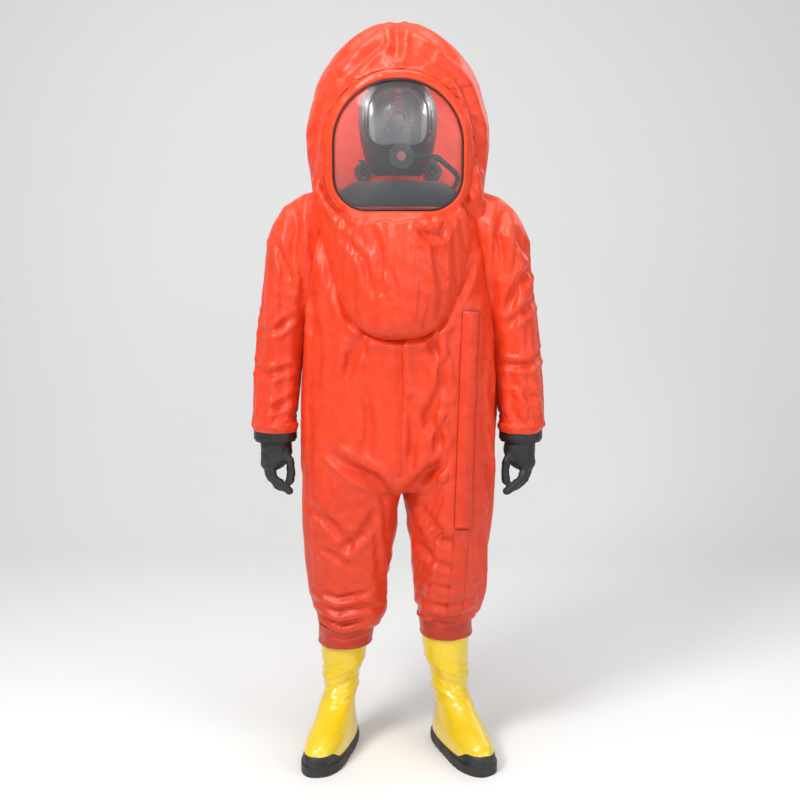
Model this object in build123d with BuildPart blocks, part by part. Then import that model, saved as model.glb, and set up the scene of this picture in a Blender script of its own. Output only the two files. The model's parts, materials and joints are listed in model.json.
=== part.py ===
"""Gas-tight chemical protective suit, standing as it is worn, with a breathing set inside it.

The suit stands on its boot soles at z = 0 and faces -Y. +X is the wearer's left. All sizes are in millimetres.
Soft pieces are closed hollow shells in the shape that the fabric takes when it is worn.
A tube is a list of levels: (z, centre x, centre y, half width along X, half depth along Y).
"""

import os
from math import cos, hypot, radians, sin, sqrt

from build123d import *

# ---------------------------------------------------------------- driving dimensions
FABRIC = 3.0  # wall of every fabric shell
GAP = 0.4  # clearance between neighbouring pieces
WAIST_Z = 700.0  # torso panels stop here and the trouser legs begin
NECK_Z = 1345.0  # torso panels stop here and the hood begins
HOOD_TOP_Z = 1860.0

TORSO = [
    (WAIST_Z, 0, 0, 241, 153),
    (770, 0, 0, 248, 165),
    (950, 0, 0, 247.5, 165),
    (1060, 0, 1, 241, 166),
    (1120, 0, 2, 236, 166),
    (1230, 0, 4, 224, 168),
    (1310, 0, 4, 215, 166),
    (NECK_Z, 0, 4, 211, 163),
]
HOOD = [
    (NECK_Z + GAP, 0, 4, 213, 164),
    (1395, 0, 4, 214, 166),
    (1466, 0, 5, 222, 174),
    (1584, 0, 5, 233, 178),
    (1701, 0, 8, 206, 168),
    (1788, 0, 10, 154, 135),
    (1840, 0, 12, 90, 84),
    (HOOD_TOP_Z, 0, 12, 36, 34),
]
BIB = [  # lower lobe of the hood, hanging over the chest
    (1108, 0, -110, 62, 58),
    (1150, 0, -90, 122, 112),
    (1250, 0, -70, 160, 146),
    (1330, 0, -55, 172, 146),
    (1360, 0, -50, 174, 128),
]
PACK_BACK_Y = 226.0  # the suit's rearmost face
POUCH = [
    (850, 0, 100, 120, 72),
    (900, 0, 112, 150, 104),
    (1050, 0, 116, 166, PACK_BACK_Y - 116),
    (1250, 0, 116, 164, PACK_BACK_Y - 116),
    (1305, 0, 112, 150, 104),
    (1343, 0, 100, 128, 84),
]
POUCH_SPLIT_Y = 172.0  # the pouch is the shell behind this plane

RIGHT_LEG = [
    (275, -140, 14, 67, 76),
    (330, -134, 12, 72, 86),
    (382, -126, 8, 84, 98),
    (446, -131, 5, 95, 106),
    (574, -132, 0, 110, 120),
    (WAIST_Z, -125, 0, 117, 131),
    (770, -118, 0, 112, 134),
]
LEFT_LEG = [
    (298, 127, 14, 66, 75),
    (345, 122, 12, 70, 84),
    (382, 120, 8, 82, 97),
    (446, 128, 5, 97, 106),
    (574, 126, 0, 111, 120),
    (WAIST_Z, 125, 0, 117, 131),
    (770, 118, 0, 112, 134),
]
HEM_HEIGHT = 25.0

ARM = [  # the wearer's left; the right arm is its mirror image
    (846, 313, -23, 57, 59),
    (900, 317, -18, 61, 64),
    (1000, 316, -2, 62.5, 68),
    (1060, 310, 6, 62.5, 70),
    (1120, 303, 9, 62.5, 73),
    (1230, 270, 10, 78, 88),
    (1309, 247, 10, 82, 95),
    (1342, 238, 10, 82, 92),
    (1380, 228, 8, 72, 84),
    (1412, 222, 8, 52, 62),
    (1432, 218, 8, 26, 34),
]
ARMHOLE_TOP = (209.0, 1400.0)  # x, z where the armhole plane passes
ARMHOLE_BOTTOM = (237.5, 1120.0)
SHOULDER = (236.0, 1322.0)  # x, z of the shoulder hinge, which runs along Y
SHOULDER_R = 104.0  # the sleeve starts on this cylinder about the hinge
ELBOW = (310.0, 6.0, 1050.0)  # the elbow hinge runs along X
ELBOW_R = 100.0  # the elbow section ends on this sphere about the hinge
JOINT_GAP = 0.8

CUFF_X, CUFF_Y = 313.0, -24.0  # vertical axis of the glove rings
CUFF_TOP_Z, CUFF_BOTTOM_Z = 845.0, 818.0
CUFF_OUTER_R, CUFF_BORE_R = 55.0, 47.4
GLOVE_RING_R, GLOVE_RING_BORE_R = 47.0, 42.0
GLOVE_WRIST_R = 41.6

BOOT_TOP_Z = 350.0
BOOT_WALL = 4.0
SOLE_TOP_Z = 24.0
BOOT_LEVELS = [  # z, inward shift, backward shift, half width, half length
    (SOLE_TOP_Z, 0, -70, 48, 148),
    (60, 0, -68, 48, 145),
    (92, 0, -44, 46, 118),
    (128, 2, -10, 44, 78),
    (170, 4, 8, 44, 58),
    (225, 8, 16, 53, 62),
    (275, 11, 24, 60, 68),
    (BOOT_TOP_Z, 14, 22, 60, 68),
]
RIGHT_ANKLE, RIGHT_SPLAY = (-156.0, -6.0), 13.5
LEFT_ANKLE, LEFT_SPLAY = (143.0, -8.0), 20.0

HEAD = [  # surface that the facepiece and the head net follow
    (1478, 0, 14, 52, 60),
    (1530, 0, 8, 80, 92),
    (1600, 0, 6, 92, 107),
    (1660, 0, 8, 88, 101),
    (1705, 0, 10, 62, 72),
    (1722, 0, 10, 28, 34),
]
YOKE = [  # padded shoulder yoke of the breathing set
    (1330, 0, 6, 186, 94),
    (1400, 0, 6, 180, 94),
    (1440, 0, 7, 150, 88),
    (1465, 0, 9, 112, 78),
]

ZIP_TOP = (178.0, -121.8, 1140.0)  # ends of the zip's straight centre line
ZIP_BOTTOM = (162.0, -127.2, 620.0)
ZIP_FACING = (0.51, -0.86, 0.0)
VALVE_X, VALVE_Z, VALVE_R = 95.0, 1500.0, 32.0
INLET_X, INLET_Z = -118.0, 790.0
NIPPLE_R, NIPPLE_LENGTH = 9.0, 24.0

os.makedirs("parts", exist_ok=True)


# ---------------------------------------------------------------- shared shapes
def tube(levels, grow=0.0, lower=0.0, raise_top=0.0):
    """Solid through horizontal ellipses. grow moves the wall outwards, lower and raise_top move the two ends."""
    with BuildPart(mode=Mode.PRIVATE) as body:
        for z, x, y, half_width, half_depth in levels:
            level = z - lower if z == levels[0][0] else z + raise_top if z == levels[-1][0] else z
            with BuildSketch(Plane.XY.offset(level)):
                with Locations((x, y)):
                    Ellipse(half_width + grow, half_depth + grow)
        loft()
    return body.part


def shell(levels, outer=0.0, wall=FABRIC):
    """Tube wall open at both ends, its outside grown by outer."""
    return tube(levels, outer) - tube(levels, outer - wall, lower=1.0, raise_top=1.0)


def dome(levels, outer=0.0, wall=FABRIC):
    """As shell, but closed at the top."""
    return tube(levels, outer) - tube(levels, outer - wall, lower=1.0, raise_top=-wall)


def mirrored(levels):
    return [(z, -x, y, half_width, half_depth) for z, x, y, half_width, half_depth in levels]


def surface_plane(x, z, levels, side):
    """Plane on a tube's wall at x and z. side is -1 for the front and 1 for the back; its normal points outwards."""
    below = max((s for s in levels if s[0] <= z), key=lambda s: s[0])
    above = min((s for s in levels if s[0] > z), key=lambda s: s[0])
    share = (z - below[0]) / (above[0] - below[0])
    _, cx, cy, a, b = (p + share * (q - p) for p, q in zip(below, above))
    dy = side * b * sqrt(1 - ((x - cx) / a) ** 2)
    nx, ny = (x - cx) / a**2, dy / b**2
    size = hypot(nx, ny)
    normal = (nx / size, ny / size, 0)
    return Plane(origin=(x, cy + dy, z), x_dir=(-normal[1], normal[0], 0), z_dir=normal)


def window(width, height, top_r, bottom_r, middle_z, depth=300.0):
    """Prism with the outline of a window, running forward from y = 0."""
    w, low, high = width / 2, middle_z - height / 2, middle_z + height / 2
    with BuildPart(mode=Mode.PRIVATE) as body:
        with BuildSketch(Plane.XZ):
            with BuildLine():
                Line((-w + bottom_r, low), (w - bottom_r, low))
                RadiusArc((w - bottom_r, low), (w, low + bottom_r), -bottom_r)
                Line((w, low + bottom_r), (w, high - top_r))
                RadiusArc((w, high - top_r), (w - top_r, high), -top_r)
                Line((w - top_r, high), (-w + top_r, high))
                RadiusArc((-w + top_r, high), (-w, high - top_r), -top_r)
                Line((-w, high - top_r), (-w, low + bottom_r))
                RadiusArc((-w, low + bottom_r), (-w + bottom_r, low), -bottom_r)
            make_face()
        extrude(amount=depth)
    return body.part


def save(part, name):
    part.label = name
    export_step(part, f"parts/{name}.step")


# ---------------------------------------------------------------- garment, cut into its panels
def on_side(part, side):
    """The wearer's left piece as it is, or its mirror image for the right."""
    return part if side == 1 else mirror(part, about=Plane.YZ)


armhole_run = (ARMHOLE_BOTTOM[0] - ARMHOLE_TOP[0], ARMHOLE_BOTTOM[1] - ARMHOLE_TOP[1])
armhole_length = hypot(*armhole_run)
armhole_normal = (-armhole_run[1] / armhole_length, 0, armhole_run[0] / armhole_length)
armhole = Plane(origin=(ARMHOLE_TOP[0], 0, ARMHOLE_TOP[1]), z_dir=armhole_normal)

arm_skin = tube(ARM)
arm_core = tube(ARM, -FABRIC, lower=1.0, raise_top=-FABRIC)
with BuildPart() as arm_stub:  # the root of the arm tube that belongs to the torso
    add(arm_skin)
    split(bisect_by=armhole.offset(-GAP / 2), keep=Keep.BOTTOM)
    split(bisect_by=Plane.XY.offset(ARMHOLE_BOTTOM[1]), keep=Keep.TOP)
    split(bisect_by=Plane.XY.offset(NECK_Z), keep=Keep.BOTTOM)

torso_skin, pouch_skin = tube(TORSO), tube(POUCH)
torso_core = tube(TORSO, -FABRIC, lower=-(GAP + FABRIC), raise_top=1.0)
pouch_core = tube(POUCH, -FABRIC, lower=-FABRIC, raise_top=-FABRIC)
leg_skins = {"right": tube(RIGHT_LEG), "left": tube(LEFT_LEG)}
leg_cores = {
    "right": tube(RIGHT_LEG, -FABRIC, lower=1.0, raise_top=1.0),
    "left": tube(LEFT_LEG, -FABRIC, lower=1.0, raise_top=1.0),
}

with BuildPart() as garment:
    add(torso_skin)
    add(pouch_skin)
    for side in ("right", "left"):
        add(leg_skins[side])
    for side in (1, -1):
        add(on_side(arm_stub.part, side))
    add(torso_core, mode=Mode.SUBTRACT)
    add(pouch_core, mode=Mode.SUBTRACT)
    for side in ("right", "left"):
        add(leg_cores[side], mode=Mode.SUBTRACT)
    for side in (1, -1):
        add(on_side(arm_core, side), mode=Mode.SUBTRACT)

SIDE_SEAM_Y = 10.0
back_plane = Plane(origin=(0, SIDE_SEAM_Y, 0), z_dir=(0, 1, 0))
pouch_plane = Plane(origin=(0, POUCH_SPLIT_Y, 0), z_dir=(0, 1, 0))
inlet_plane = surface_plane(INLET_X, INLET_Z, TORSO, 1)
inlet_bore = inlet_plane * Cylinder(14.4, 30)

with BuildPart() as torso_front_panel:
    add(garment.part)
    split(bisect_by=Plane.XY.offset(WAIST_Z + GAP), keep=Keep.TOP)
    split(bisect_by=back_plane.offset(-GAP / 2), keep=Keep.BOTTOM)
save(torso_front_panel.part, "torso_front_panel")

with BuildPart() as torso_back_panel:
    add(garment.part)
    split(bisect_by=Plane.XY.offset(WAIST_Z + GAP), keep=Keep.TOP)
    split(bisect_by=back_plane.offset(GAP / 2), keep=Keep.TOP)
    split(bisect_by=pouch_plane.offset(-GAP), keep=Keep.BOTTOM)
    add(inlet_bore, mode=Mode.SUBTRACT)
save(torso_back_panel.part, "torso_back_panel")

with BuildPart() as pack_pouch:
    add(garment.part)
    split(bisect_by=Plane.XY.offset(WAIST_Z + GAP), keep=Keep.TOP)
    split(bisect_by=pouch_plane, keep=Keep.TOP)
save(pack_pouch.part, "pack_pouch")

for name, levels in (("right", RIGHT_LEG), ("left", LEFT_LEG)):
    with BuildPart() as leg:
        add(leg_skins[name])
        add(leg_cores[name], mode=Mode.SUBTRACT)
        split(bisect_by=Plane.XY.offset(WAIST_Z), keep=Keep.BOTTOM)
        split(bisect_by=Plane.XY.offset(levels[0][0] + HEM_HEIGHT), keep=Keep.TOP)
    save(leg.part, f"{name}_trouser_leg")

# ---------------------------------------------------------------- sleeves
shoulder_axis = Plane(origin=(SHOULDER[0], 0, SHOULDER[1]), z_dir=(0, 1, 0))
hood_clear = tube(HOOD, GAP, lower=5.0)
shoulder_drum = shoulder_axis * Cylinder(SHOULDER_R, 400)
shoulder_cut = shoulder_axis * Cylinder(SHOULDER_R + JOINT_GAP, 400)
shoulder_top = Location((SHOULDER[0], 0, SHOULDER[1] + 200)) * Box(400, 400, 400)
shoulder_zone = shoulder_drum + shoulder_top
arm_shell = arm_skin - arm_core
with BuildPart() as outer_arm:  # the arm tube beyond the armhole
    add(arm_shell)
    split(bisect_by=armhole.offset(GAP / 2), keep=Keep.TOP)

with BuildPart() as shoulder_panel:
    add(outer_arm.part)
    add(shoulder_zone, mode=Mode.INTERSECT)
    add(hood_clear, mode=Mode.SUBTRACT)

with BuildPart() as upper_sleeve:
    add(outer_arm.part)
    split(bisect_by=Plane.XY.offset(ELBOW[2]), keep=Keep.TOP)
    split(bisect_by=Plane.XY.offset(SHOULDER[1] - JOINT_GAP), keep=Keep.BOTTOM)
    add(shoulder_cut, mode=Mode.SUBTRACT)
    with Locations(ELBOW):
        Sphere(ELBOW_R + JOINT_GAP, mode=Mode.SUBTRACT)

with BuildPart() as elbow_section:
    add(arm_shell)
    with Locations(ELBOW):
        Sphere(ELBOW_R, mode=Mode.INTERSECT)

with BuildPart() as lower_sleeve:
    add(arm_shell)
    split(bisect_by=Plane.XY.offset(ELBOW[2]), keep=Keep.BOTTOM)
    add(elbow_section.part)

for name, side in (("left", 1), ("right", -1)):
    save(on_side(shoulder_panel.part, side), f"{name}_shoulder_panel")
    save(on_side(upper_sleeve.part, side), f"{name}_upper_sleeve")
    save(on_side(lower_sleeve.part, side), f"{name}_lower_sleeve")

# ---------------------------------------------------------------- glove rings and gloves
CUFF_SPIGOT_R = 52.0  # glued inside the sleeve end
cuff_middle = Location((CUFF_X, CUFF_Y, 0))
with BuildPart() as cuff_ring:
    with BuildSketch(Plane.XY.offset(CUFF_BOTTOM_Z)):
        with Locations((CUFF_X, CUFF_Y)):
            Circle(CUFF_OUTER_R)
    extrude(amount=CUFF_TOP_Z - CUFF_BOTTOM_Z)
    fillet(cuff_ring.edges().filter_by(GeomType.CIRCLE), 3.0)
    with BuildSketch(Plane.XY.offset(CUFF_TOP_Z)):
        with Locations((CUFF_X, CUFF_Y)):
            Circle(CUFF_SPIGOT_R)
    extrude(amount=18)
    with BuildSketch(Plane.XY.offset(CUFF_BOTTOM_Z)):
        with Locations((CUFF_X, CUFF_Y)):
            Circle(CUFF_BORE_R)
    extrude(amount=60, mode=Mode.SUBTRACT)

with BuildPart() as glove_ring:
    with BuildSketch(Plane.XY.offset(CUFF_BOTTOM_Z)):
        with Locations((CUFF_X, CUFF_Y)):
            Circle(GLOVE_RING_R)
    extrude(amount=24)
    with BuildSketch(Plane.XY.offset(CUFF_BOTTOM_Z - GAP)):
        with Locations((CUFF_X, CUFF_Y)):
            Circle(CUFF_BORE_R + 4)
    extrude(amount=-4)
    with BuildSketch(Plane.XY.offset(CUFF_BOTTOM_Z - 5)):
        with Locations((CUFF_X, CUFF_Y)):
            Circle(GLOVE_RING_BORE_R)
    extrude(amount=60, mode=Mode.SUBTRACT)
    with BuildSketch(Plane.XY.offset(CUFF_BOTTOM_Z - GAP)):
        with Locations((CUFF_X, CUFF_Y)):
            Circle(GLOVE_RING_R)
            Circle(GLOVE_RING_BORE_R, mode=Mode.SUBTRACT)
    extrude(amount=GAP)

PALM = [  # the hand hangs and closes towards the body
    (742, CUFF_X + 10, CUFF_Y + 2, 24, 32),
    (762, CUFF_X + 2, CUFF_Y - 1, 36, 37),
    (785, CUFF_X - 3, CUFF_Y - 1, 40, 40.5),
    (812, CUFF_X - 1, CUFF_Y, 40, 41),
    (838, CUFF_X, CUFF_Y, GLOVE_WRIST_R - 0.2, GLOVE_WRIST_R),
]
FINGERS = [  # radius, then joints from the knuckle to the tip, as offsets from the wrist (outward, y, z)
    (10.5, ((13, -24, -64), (1, -30, -94), (-20, -28, -116), (-36, -24, -128))),
    (10.5, ((22, -6, -64), (12, -10, -97), (-8, -10, -118), (-22, -8, -124))),
    (10.0, ((27, 12, -62), (19, 10, -92), (2, 8, -110), (-10, 6, -112))),
    (9.0, ((26, 28, -58), (22, 27, -82), (10, 24, -98), (0, 20, -100))),
    (11.0, ((-20, -22, -24), (-39, -27, -50), (-42, -28, -78), (-39, -26, -102))),
]
WRIST_Z = 815.0


def finger(radius, joints):
    """Round-ended rods from joint to joint."""
    points = [Vector(CUFF_X + o, CUFF_Y + y, WRIST_Z + z) for o, y, z in joints]
    with BuildPart(mode=Mode.PRIVATE) as body:
        for start, end in zip(points, points[1:]):
            run = end - start
            middle = Plane(origin=(start + end) / 2, z_dir=run)
            with Locations(middle):
                Cylinder(radius, run.length)
        with Locations(*points):
            Sphere(radius * 1.01)
    return body.part


palm = tube(PALM)
palm_core = tube(PALM[1:], -FABRIC, raise_top=1.0)
digits = [finger(radius, joints) for radius, joints in FINGERS]
glove_solid = palm
for digit in digits:
    glove_solid = glove_solid + digit
with BuildPart() as glove:
    add(glove_solid - palm_core)

for name, side in (("left", 1), ("right", -1)):
    save(on_side(cuff_ring.part, side), f"{name}_cuff_ring")
    save(on_side(glove_ring.part, side), f"{name}_glove_ring")
    save(on_side(glove.part, side), f"{name}_glove")


# ---------------------------------------------------------------- boots
def boot_planes(ankle, splay, side):
    """Function from (z, inward, backward) to a level plane turned with the foot."""
    turn = radians(splay)
    across = Vector(cos(turn), side * sin(turn), 0)
    back = Vector(-side * sin(turn), cos(turn), 0)

    def at(z, inward=0.0, backward=0.0):
        origin = Vector(*ankle, z) - across * (side * inward) + back * backward
        return Plane(origin=origin, x_dir=across, z_dir=(0, 0, 1))

    return at


def boot_tube(at, grow=0.0, low=None, stretch=0.0):
    with BuildPart(mode=Mode.PRIVATE) as body:
        for z, inward, backward, half_width, half_length in BOOT_LEVELS:
            level = z + stretch if z == BOOT_TOP_Z else low if low and z == SOLE_TOP_Z else z
            with BuildSketch(at(level, inward, backward)):
                Ellipse(half_width + grow, half_length + grow)
        loft()
    return body.part


SOLE_HALF = [(36, -204), (52, -152), (53, -100), (49, -40), (45, 10), (41, 46), (27, 76)]
TOE_Y, HEEL_Y = -226.0, 87.0
TOE_CAP_LOW_Z = 30.0


def make_boot(name, ankle, splay, side, leg_levels):
    at = boot_planes(ankle, splay, side)
    skin, core = boot_tube(at), boot_tube(at, -BOOT_WALL, low=SOLE_TOP_Z + BOOT_WALL, stretch=1.0)
    with BuildPart() as upper:
        add(skin)
        add(core, mode=Mode.SUBTRACT)
    save(upper.part, f"{name}_boot_upper")

    with BuildPart() as sole:
        with BuildSketch(at(0)):
            with BuildLine():
                right_side = [(x, y) for x, y in SOLE_HALF]
                left_side = [(-x, y) for x, y in reversed(SOLE_HALF)]
                Spline(((0, TOE_Y), *right_side, (0, HEEL_Y), *left_side), periodic=True)
            make_face()
        extrude(amount=SOLE_TOP_Z - GAP)
        with BuildSketch(at(0, 0, -10)):  # arch
            Rectangle(130, 36)
        extrude(amount=9, mode=Mode.SUBTRACT)
        with BuildSketch(at(0, 0, -122)):  # tread grooves under the forefoot
            with GridLocations(0, 24, 1, 7):
                Rectangle(130, 5)
        extrude(amount=4, mode=Mode.SUBTRACT)
        with BuildSketch(at(0, 0, 45)):  # tread grooves under the heel
            with GridLocations(0, 20, 1, 3):
                Rectangle(130, 5)
        extrude(amount=4, mode=Mode.SUBTRACT)
    save(sole.part, f"{name}_boot_sole")

    lining = boot_tube(at, -BOOT_WALL - GAP, low=SOLE_TOP_Z + BOOT_WALL + GAP)
    toe_core = boot_tube(at, -BOOT_WALL - GAP - 2, low=SOLE_TOP_Z + BOOT_WALL)
    with BuildPart() as toe_cap:
        add(lining)
        add(toe_core, mode=Mode.SUBTRACT)
        toe_line = at(0, 0, -155)
        split(bisect_by=Plane(origin=toe_line.origin, z_dir=toe_line.y_dir), keep=Keep.BOTTOM)
        split(bisect_by=Plane.XY.offset(TOE_CAP_LOW_Z), keep=Keep.TOP)
    save(toe_cap.part, f"{name}_toe_cap")

    hem_top = leg_levels[0][0] + HEM_HEIGHT - GAP
    with BuildPart() as hem:
        add(tube(leg_levels))
        split(bisect_by=Plane.XY.offset(hem_top), keep=Keep.BOTTOM)
        add(boot_tube(at, GAP), mode=Mode.SUBTRACT)
    save(hem.part, f"{name}_leg_hem")


make_boot("right", RIGHT_ANKLE, RIGHT_SPLAY, -1, RIGHT_LEG)
make_boot("left", LEFT_ANKLE, LEFT_SPLAY, 1, LEFT_LEG)

# ---------------------------------------------------------------- hood, window and bib
WINDOW_WIDTH, WINDOW_HEIGHT, WINDOW_Z = 316.0, 309.0, 1543.0
WINDOW_TOP_R, WINDOW_BOTTOM_R = 152.0, 84.0
RIM_WIDTH = 22.0
LENS_LAP = 12.0
VISOR_WALL = 2.0


def grown_window(grow):
    return window(
        WINDOW_WIDTH + 2 * grow,
        WINDOW_HEIGHT + 2 * grow,
        WINDOW_TOP_R + grow,
        WINDOW_BOTTOM_R + grow,
        WINDOW_Z,
    )


hole = grown_window(0)
hood_shell = dome(HOOD)
valve_planes = {}
valve_bores = {}
for name, side in (("left", 1), ("right", -1)):
    valve_planes[name] = surface_plane(side * VALVE_X, VALVE_Z, HOOD, 1).offset(2.5)
    valve_bores[name] = valve_planes[name] * Cylinder(22.4, 60)
for name, side in (("left", 1), ("right", -1)):
    with BuildPart() as hood_panel:
        add(hood_shell)
        add(hole, mode=Mode.SUBTRACT)
        add(valve_bores[name], mode=Mode.SUBTRACT)
        split(bisect_by=Plane(origin=(side * GAP / 2, 0, 0), z_dir=(side, 0, 0)), keep=Keep.TOP)
    save(hood_panel.part, f"hood_{name}_panel")

visor_shell = dome(HOOD, -FABRIC - GAP, VISOR_WALL)
with BuildPart() as visor:
    add(grown_window(LENS_LAP))
    add(visor_shell, mode=Mode.INTERSECT)
save(visor.part, "visor_window")

rim_shell = dome(HOOD, GAP + 3.0, 3.0)
with BuildPart() as visor_rim:
    add(grown_window(RIM_WIDTH))
    add(hole, mode=Mode.SUBTRACT)
    add(rim_shell, mode=Mode.INTERSECT)
save(visor_rim.part, "visor_rim")

with BuildPart() as bib_lobe:
    add(tube(BIB))
    add(tube(BIB, -FABRIC, lower=-FABRIC, raise_top=-FABRIC), mode=Mode.SUBTRACT)
    add(tube(TORSO, GAP, raise_top=1.0), mode=Mode.SUBTRACT)
    add(hood_clear, mode=Mode.SUBTRACT)
with BuildPart() as hood_bib:
    add(bib_lobe.part.solids().sort_by(Axis.Y)[0])
save(hood_bib.part, "hood_bib")

# ---------------------------------------------------------------- gas-tight zip on the wearer's left
zip_axis = Vector(*ZIP_TOP) - Vector(*ZIP_BOTTOM)
ZIP_LENGTH = zip_axis.length
zip_up = zip_axis.normalized()
zip_across = Vector(*ZIP_FACING).cross(zip_up).normalized() * -1
zip_out = zip_up.cross(zip_across) * -1


def zip_section(height):
    """Plane across the zip at a height above its lower end; local x runs outwards, local y away from the suit."""
    return Plane(origin=Vector(*ZIP_BOTTOM) + zip_up * height, x_dir=zip_across, z_dir=zip_across.cross(zip_out))


rise = 1 if zip_across.cross(zip_out).Z > 0 else -1


def bar(sections, low, high):
    """Extrudes rectangles (x0, y0, x1, y1) of the zip's cross-section between two heights."""
    with BuildPart(mode=Mode.PRIVATE) as body:
        with BuildSketch(zip_section(low)):
            for x0, y0, x1, y1 in sections:
                with Locations(((x0 + x1) / 2, (y0 + y1) / 2)):
                    Rectangle(x1 - x0, y1 - y0)
        extrude(amount=rise * (high - low))
    return body.part


FLAP_HALF, FLAP_WALL, FLAP_RISE, FLAP_OVERRUN = 25.0, 2.0, 15.0, 8.0
with BuildPart() as zip_tape:
    add(bar([(-FLAP_HALF - 1, -45, FLAP_HALF + 1, 0.2)], -FLAP_OVERRUN - 2, ZIP_LENGTH + FLAP_OVERRUN + 2))
    add(bar([(-15, 0.2, 15, 1.6)], 0, ZIP_LENGTH))
    add(tube(TORSO, GAP), mode=Mode.SUBTRACT)
    add(tube(LEFT_LEG, GAP), mode=Mode.SUBTRACT)
with BuildPart() as zip_bed:
    add(zip_tape.part.solids().sort_by(SortBy.VOLUME)[-1])
save(zip_bed.part, "zip_tape")
save(bar([(-4.5, 2.0, 4.5, 5.6)], 6, ZIP_LENGTH - 6), "zip_chain")
SLIDER_LENGTH = 30.0
slider_top = ZIP_LENGTH - 10
slider_low = slider_top - SLIDER_LENGTH
with BuildPart() as zip_slider:
    add(bar([(-9, 2.2, -5, 8.6), (5, 2.2, 9, 8.6), (-9, 6.2, 9, 8.6)], slider_low, slider_top))
    add(bar([(-4, 8.6, 4, 10.4)], slider_low - 22, slider_top - 6))
save(zip_slider.part, "zip_slider")

with BuildPart() as zip_flap:
    with BuildSketch(zip_section(-FLAP_OVERRUN)):
        with BuildLine():
            Polyline(
                (-FLAP_HALF, 0.6),
                (-FLAP_HALF + 5, FLAP_RISE),
                (FLAP_HALF - 5, FLAP_RISE),
                (FLAP_HALF, 0.6),
                (FLAP_HALF - 2.4, 0.6),
                (FLAP_HALF - 6.6, FLAP_RISE - FLAP_WALL),
                (-FLAP_HALF + 6.6, FLAP_RISE - FLAP_WALL),
                (-FLAP_HALF + 2.4, 0.6),
                close=True,
            )
        make_face()
    extrude(amount=rise * (ZIP_LENGTH + 2 * FLAP_OVERRUN))
save(zip_flap.part, "zip_flap")

LEG_TAPE_X, LEG_TAPE_WIDTH, LEG_TAPE_LOW_Z = 152.0, 44.0, 400.0
tape_top_z = ZIP_BOTTOM[2] - FLAP_OVERRUN - 4
with BuildPart() as leg_tape:
    add(shell(LEFT_LEG, GAP + 1.6, 1.6))
    with Locations((LEG_TAPE_X, -100, (tape_top_z + LEG_TAPE_LOW_Z) / 2)):
        Box(LEG_TAPE_WIDTH, 200, tape_top_z - LEG_TAPE_LOW_Z, mode=Mode.INTERSECT)
save(leg_tape.part, "leg_tape")


# ---------------------------------------------------------------- exhaust valves in the back of the hood
def make_valve(name, plane):
    with BuildPart() as seat:
        with BuildSketch(plane.offset(0.6)):
            Circle(VALVE_R)
        extrude(amount=3)
        with BuildSketch(plane.offset(-14)):
            Circle(22)
        extrude(amount=14.6)
        with BuildSketch(plane.offset(-14)):
            with PolarLocations(9, 6):
                Circle(3.5)
        extrude(amount=20, mode=Mode.SUBTRACT)
        with BuildSketch(plane.offset(1.0)):
            Circle(18)
        extrude(amount=6, mode=Mode.SUBTRACT)
    save(seat.part, f"{name}_valve_seat")

    with BuildPart() as disc:
        with BuildSketch(plane.offset(1.0 + GAP)):
            Circle(16)
        extrude(amount=1.2)
    save(disc.part, f"{name}_valve_disc")

    with BuildPart() as cap:
        with BuildSketch(plane.offset(3.6 + GAP)):
            Circle(29)
        extrude(amount=11)
        with BuildSketch(plane.offset(3.6 + GAP)):
            Circle(26)
        extrude(amount=8, mode=Mode.SUBTRACT)
        with BuildSketch(plane.offset(6.5)):
            with PolarLocations(28, 8):
                Rectangle(10, 9)
        extrude(amount=4, mode=Mode.SUBTRACT)
        with BuildSketch(plane.offset(14.6 + GAP)):
            Rectangle(30, 5)
        extrude(amount=3)
    save(cap.part, f"{name}_valve_cap")


for name, plane in valve_planes.items():
    make_valve(name, plane)

# ---------------------------------------------------------------- air line inlet in the lower back
with BuildPart() as air_inlet:
    with BuildSketch(inlet_plane.offset(0.6)):
        Circle(26)
    extrude(amount=4)
    with BuildSketch(inlet_plane.offset(-22)):
        Circle(14)
    extrude(amount=22.6)
    with BuildSketch(inlet_plane.offset(4.6)):
        Circle(13)
    extrude(amount=3)
    with BuildSketch(inlet_plane.offset(7.6)):
        Circle(NIPPLE_R)
    extrude(amount=NIPPLE_LENGTH)
    with BuildSketch(inlet_plane.offset(-22)):
        Circle(4)
    extrude(amount=60, mode=Mode.SUBTRACT)
save(air_inlet.part, "air_inlet")

with BuildPart() as inlet_cap:
    with BuildSketch(inlet_plane.offset(7.6 + GAP)):
        Circle(14)
        with PolarLocations(15, 12):
            Circle(2, mode=Mode.SUBTRACT)
    extrude(amount=NIPPLE_LENGTH + 4)
    with BuildSketch(inlet_plane.offset(7.6 + GAP)):
        Circle(NIPPLE_R + GAP)
    extrude(amount=NIPPLE_LENGTH, mode=Mode.SUBTRACT)
save(inlet_cap.part, "inlet_cap")

# ---------------------------------------------------------------- facepiece behind the window
LENS_Z, LENS_WIDTH, LENS_HEIGHT = 1618.0, 148.0, 136.0
VALVE_AXIS_X, VALVE_AXIS_Z = 8.0, 1519.0


def face_window(grow, low_extra=0.0):
    return window(
        LENS_WIDTH + 2 * grow,
        LENS_HEIGHT + 2 * grow + low_extra,
        56 + grow,
        40 + grow,
        LENS_Z - low_extra / 2,
    )


lens_shell = shell(HEAD, 8.0, 2.0)
with BuildPart() as mask_lens:
    add(face_window(0))
    add(lens_shell, mode=Mode.INTERSECT)
save(mask_lens.part, "mask_lens")

frame_shell = shell(HEAD, 11.0, 7.0)
with BuildPart() as mask_frame:
    add(face_window(7))
    add(face_window(GAP), mode=Mode.SUBTRACT)
    add(frame_shell, mode=Mode.INTERSECT)
save(mask_frame.part, "mask_frame")

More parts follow.
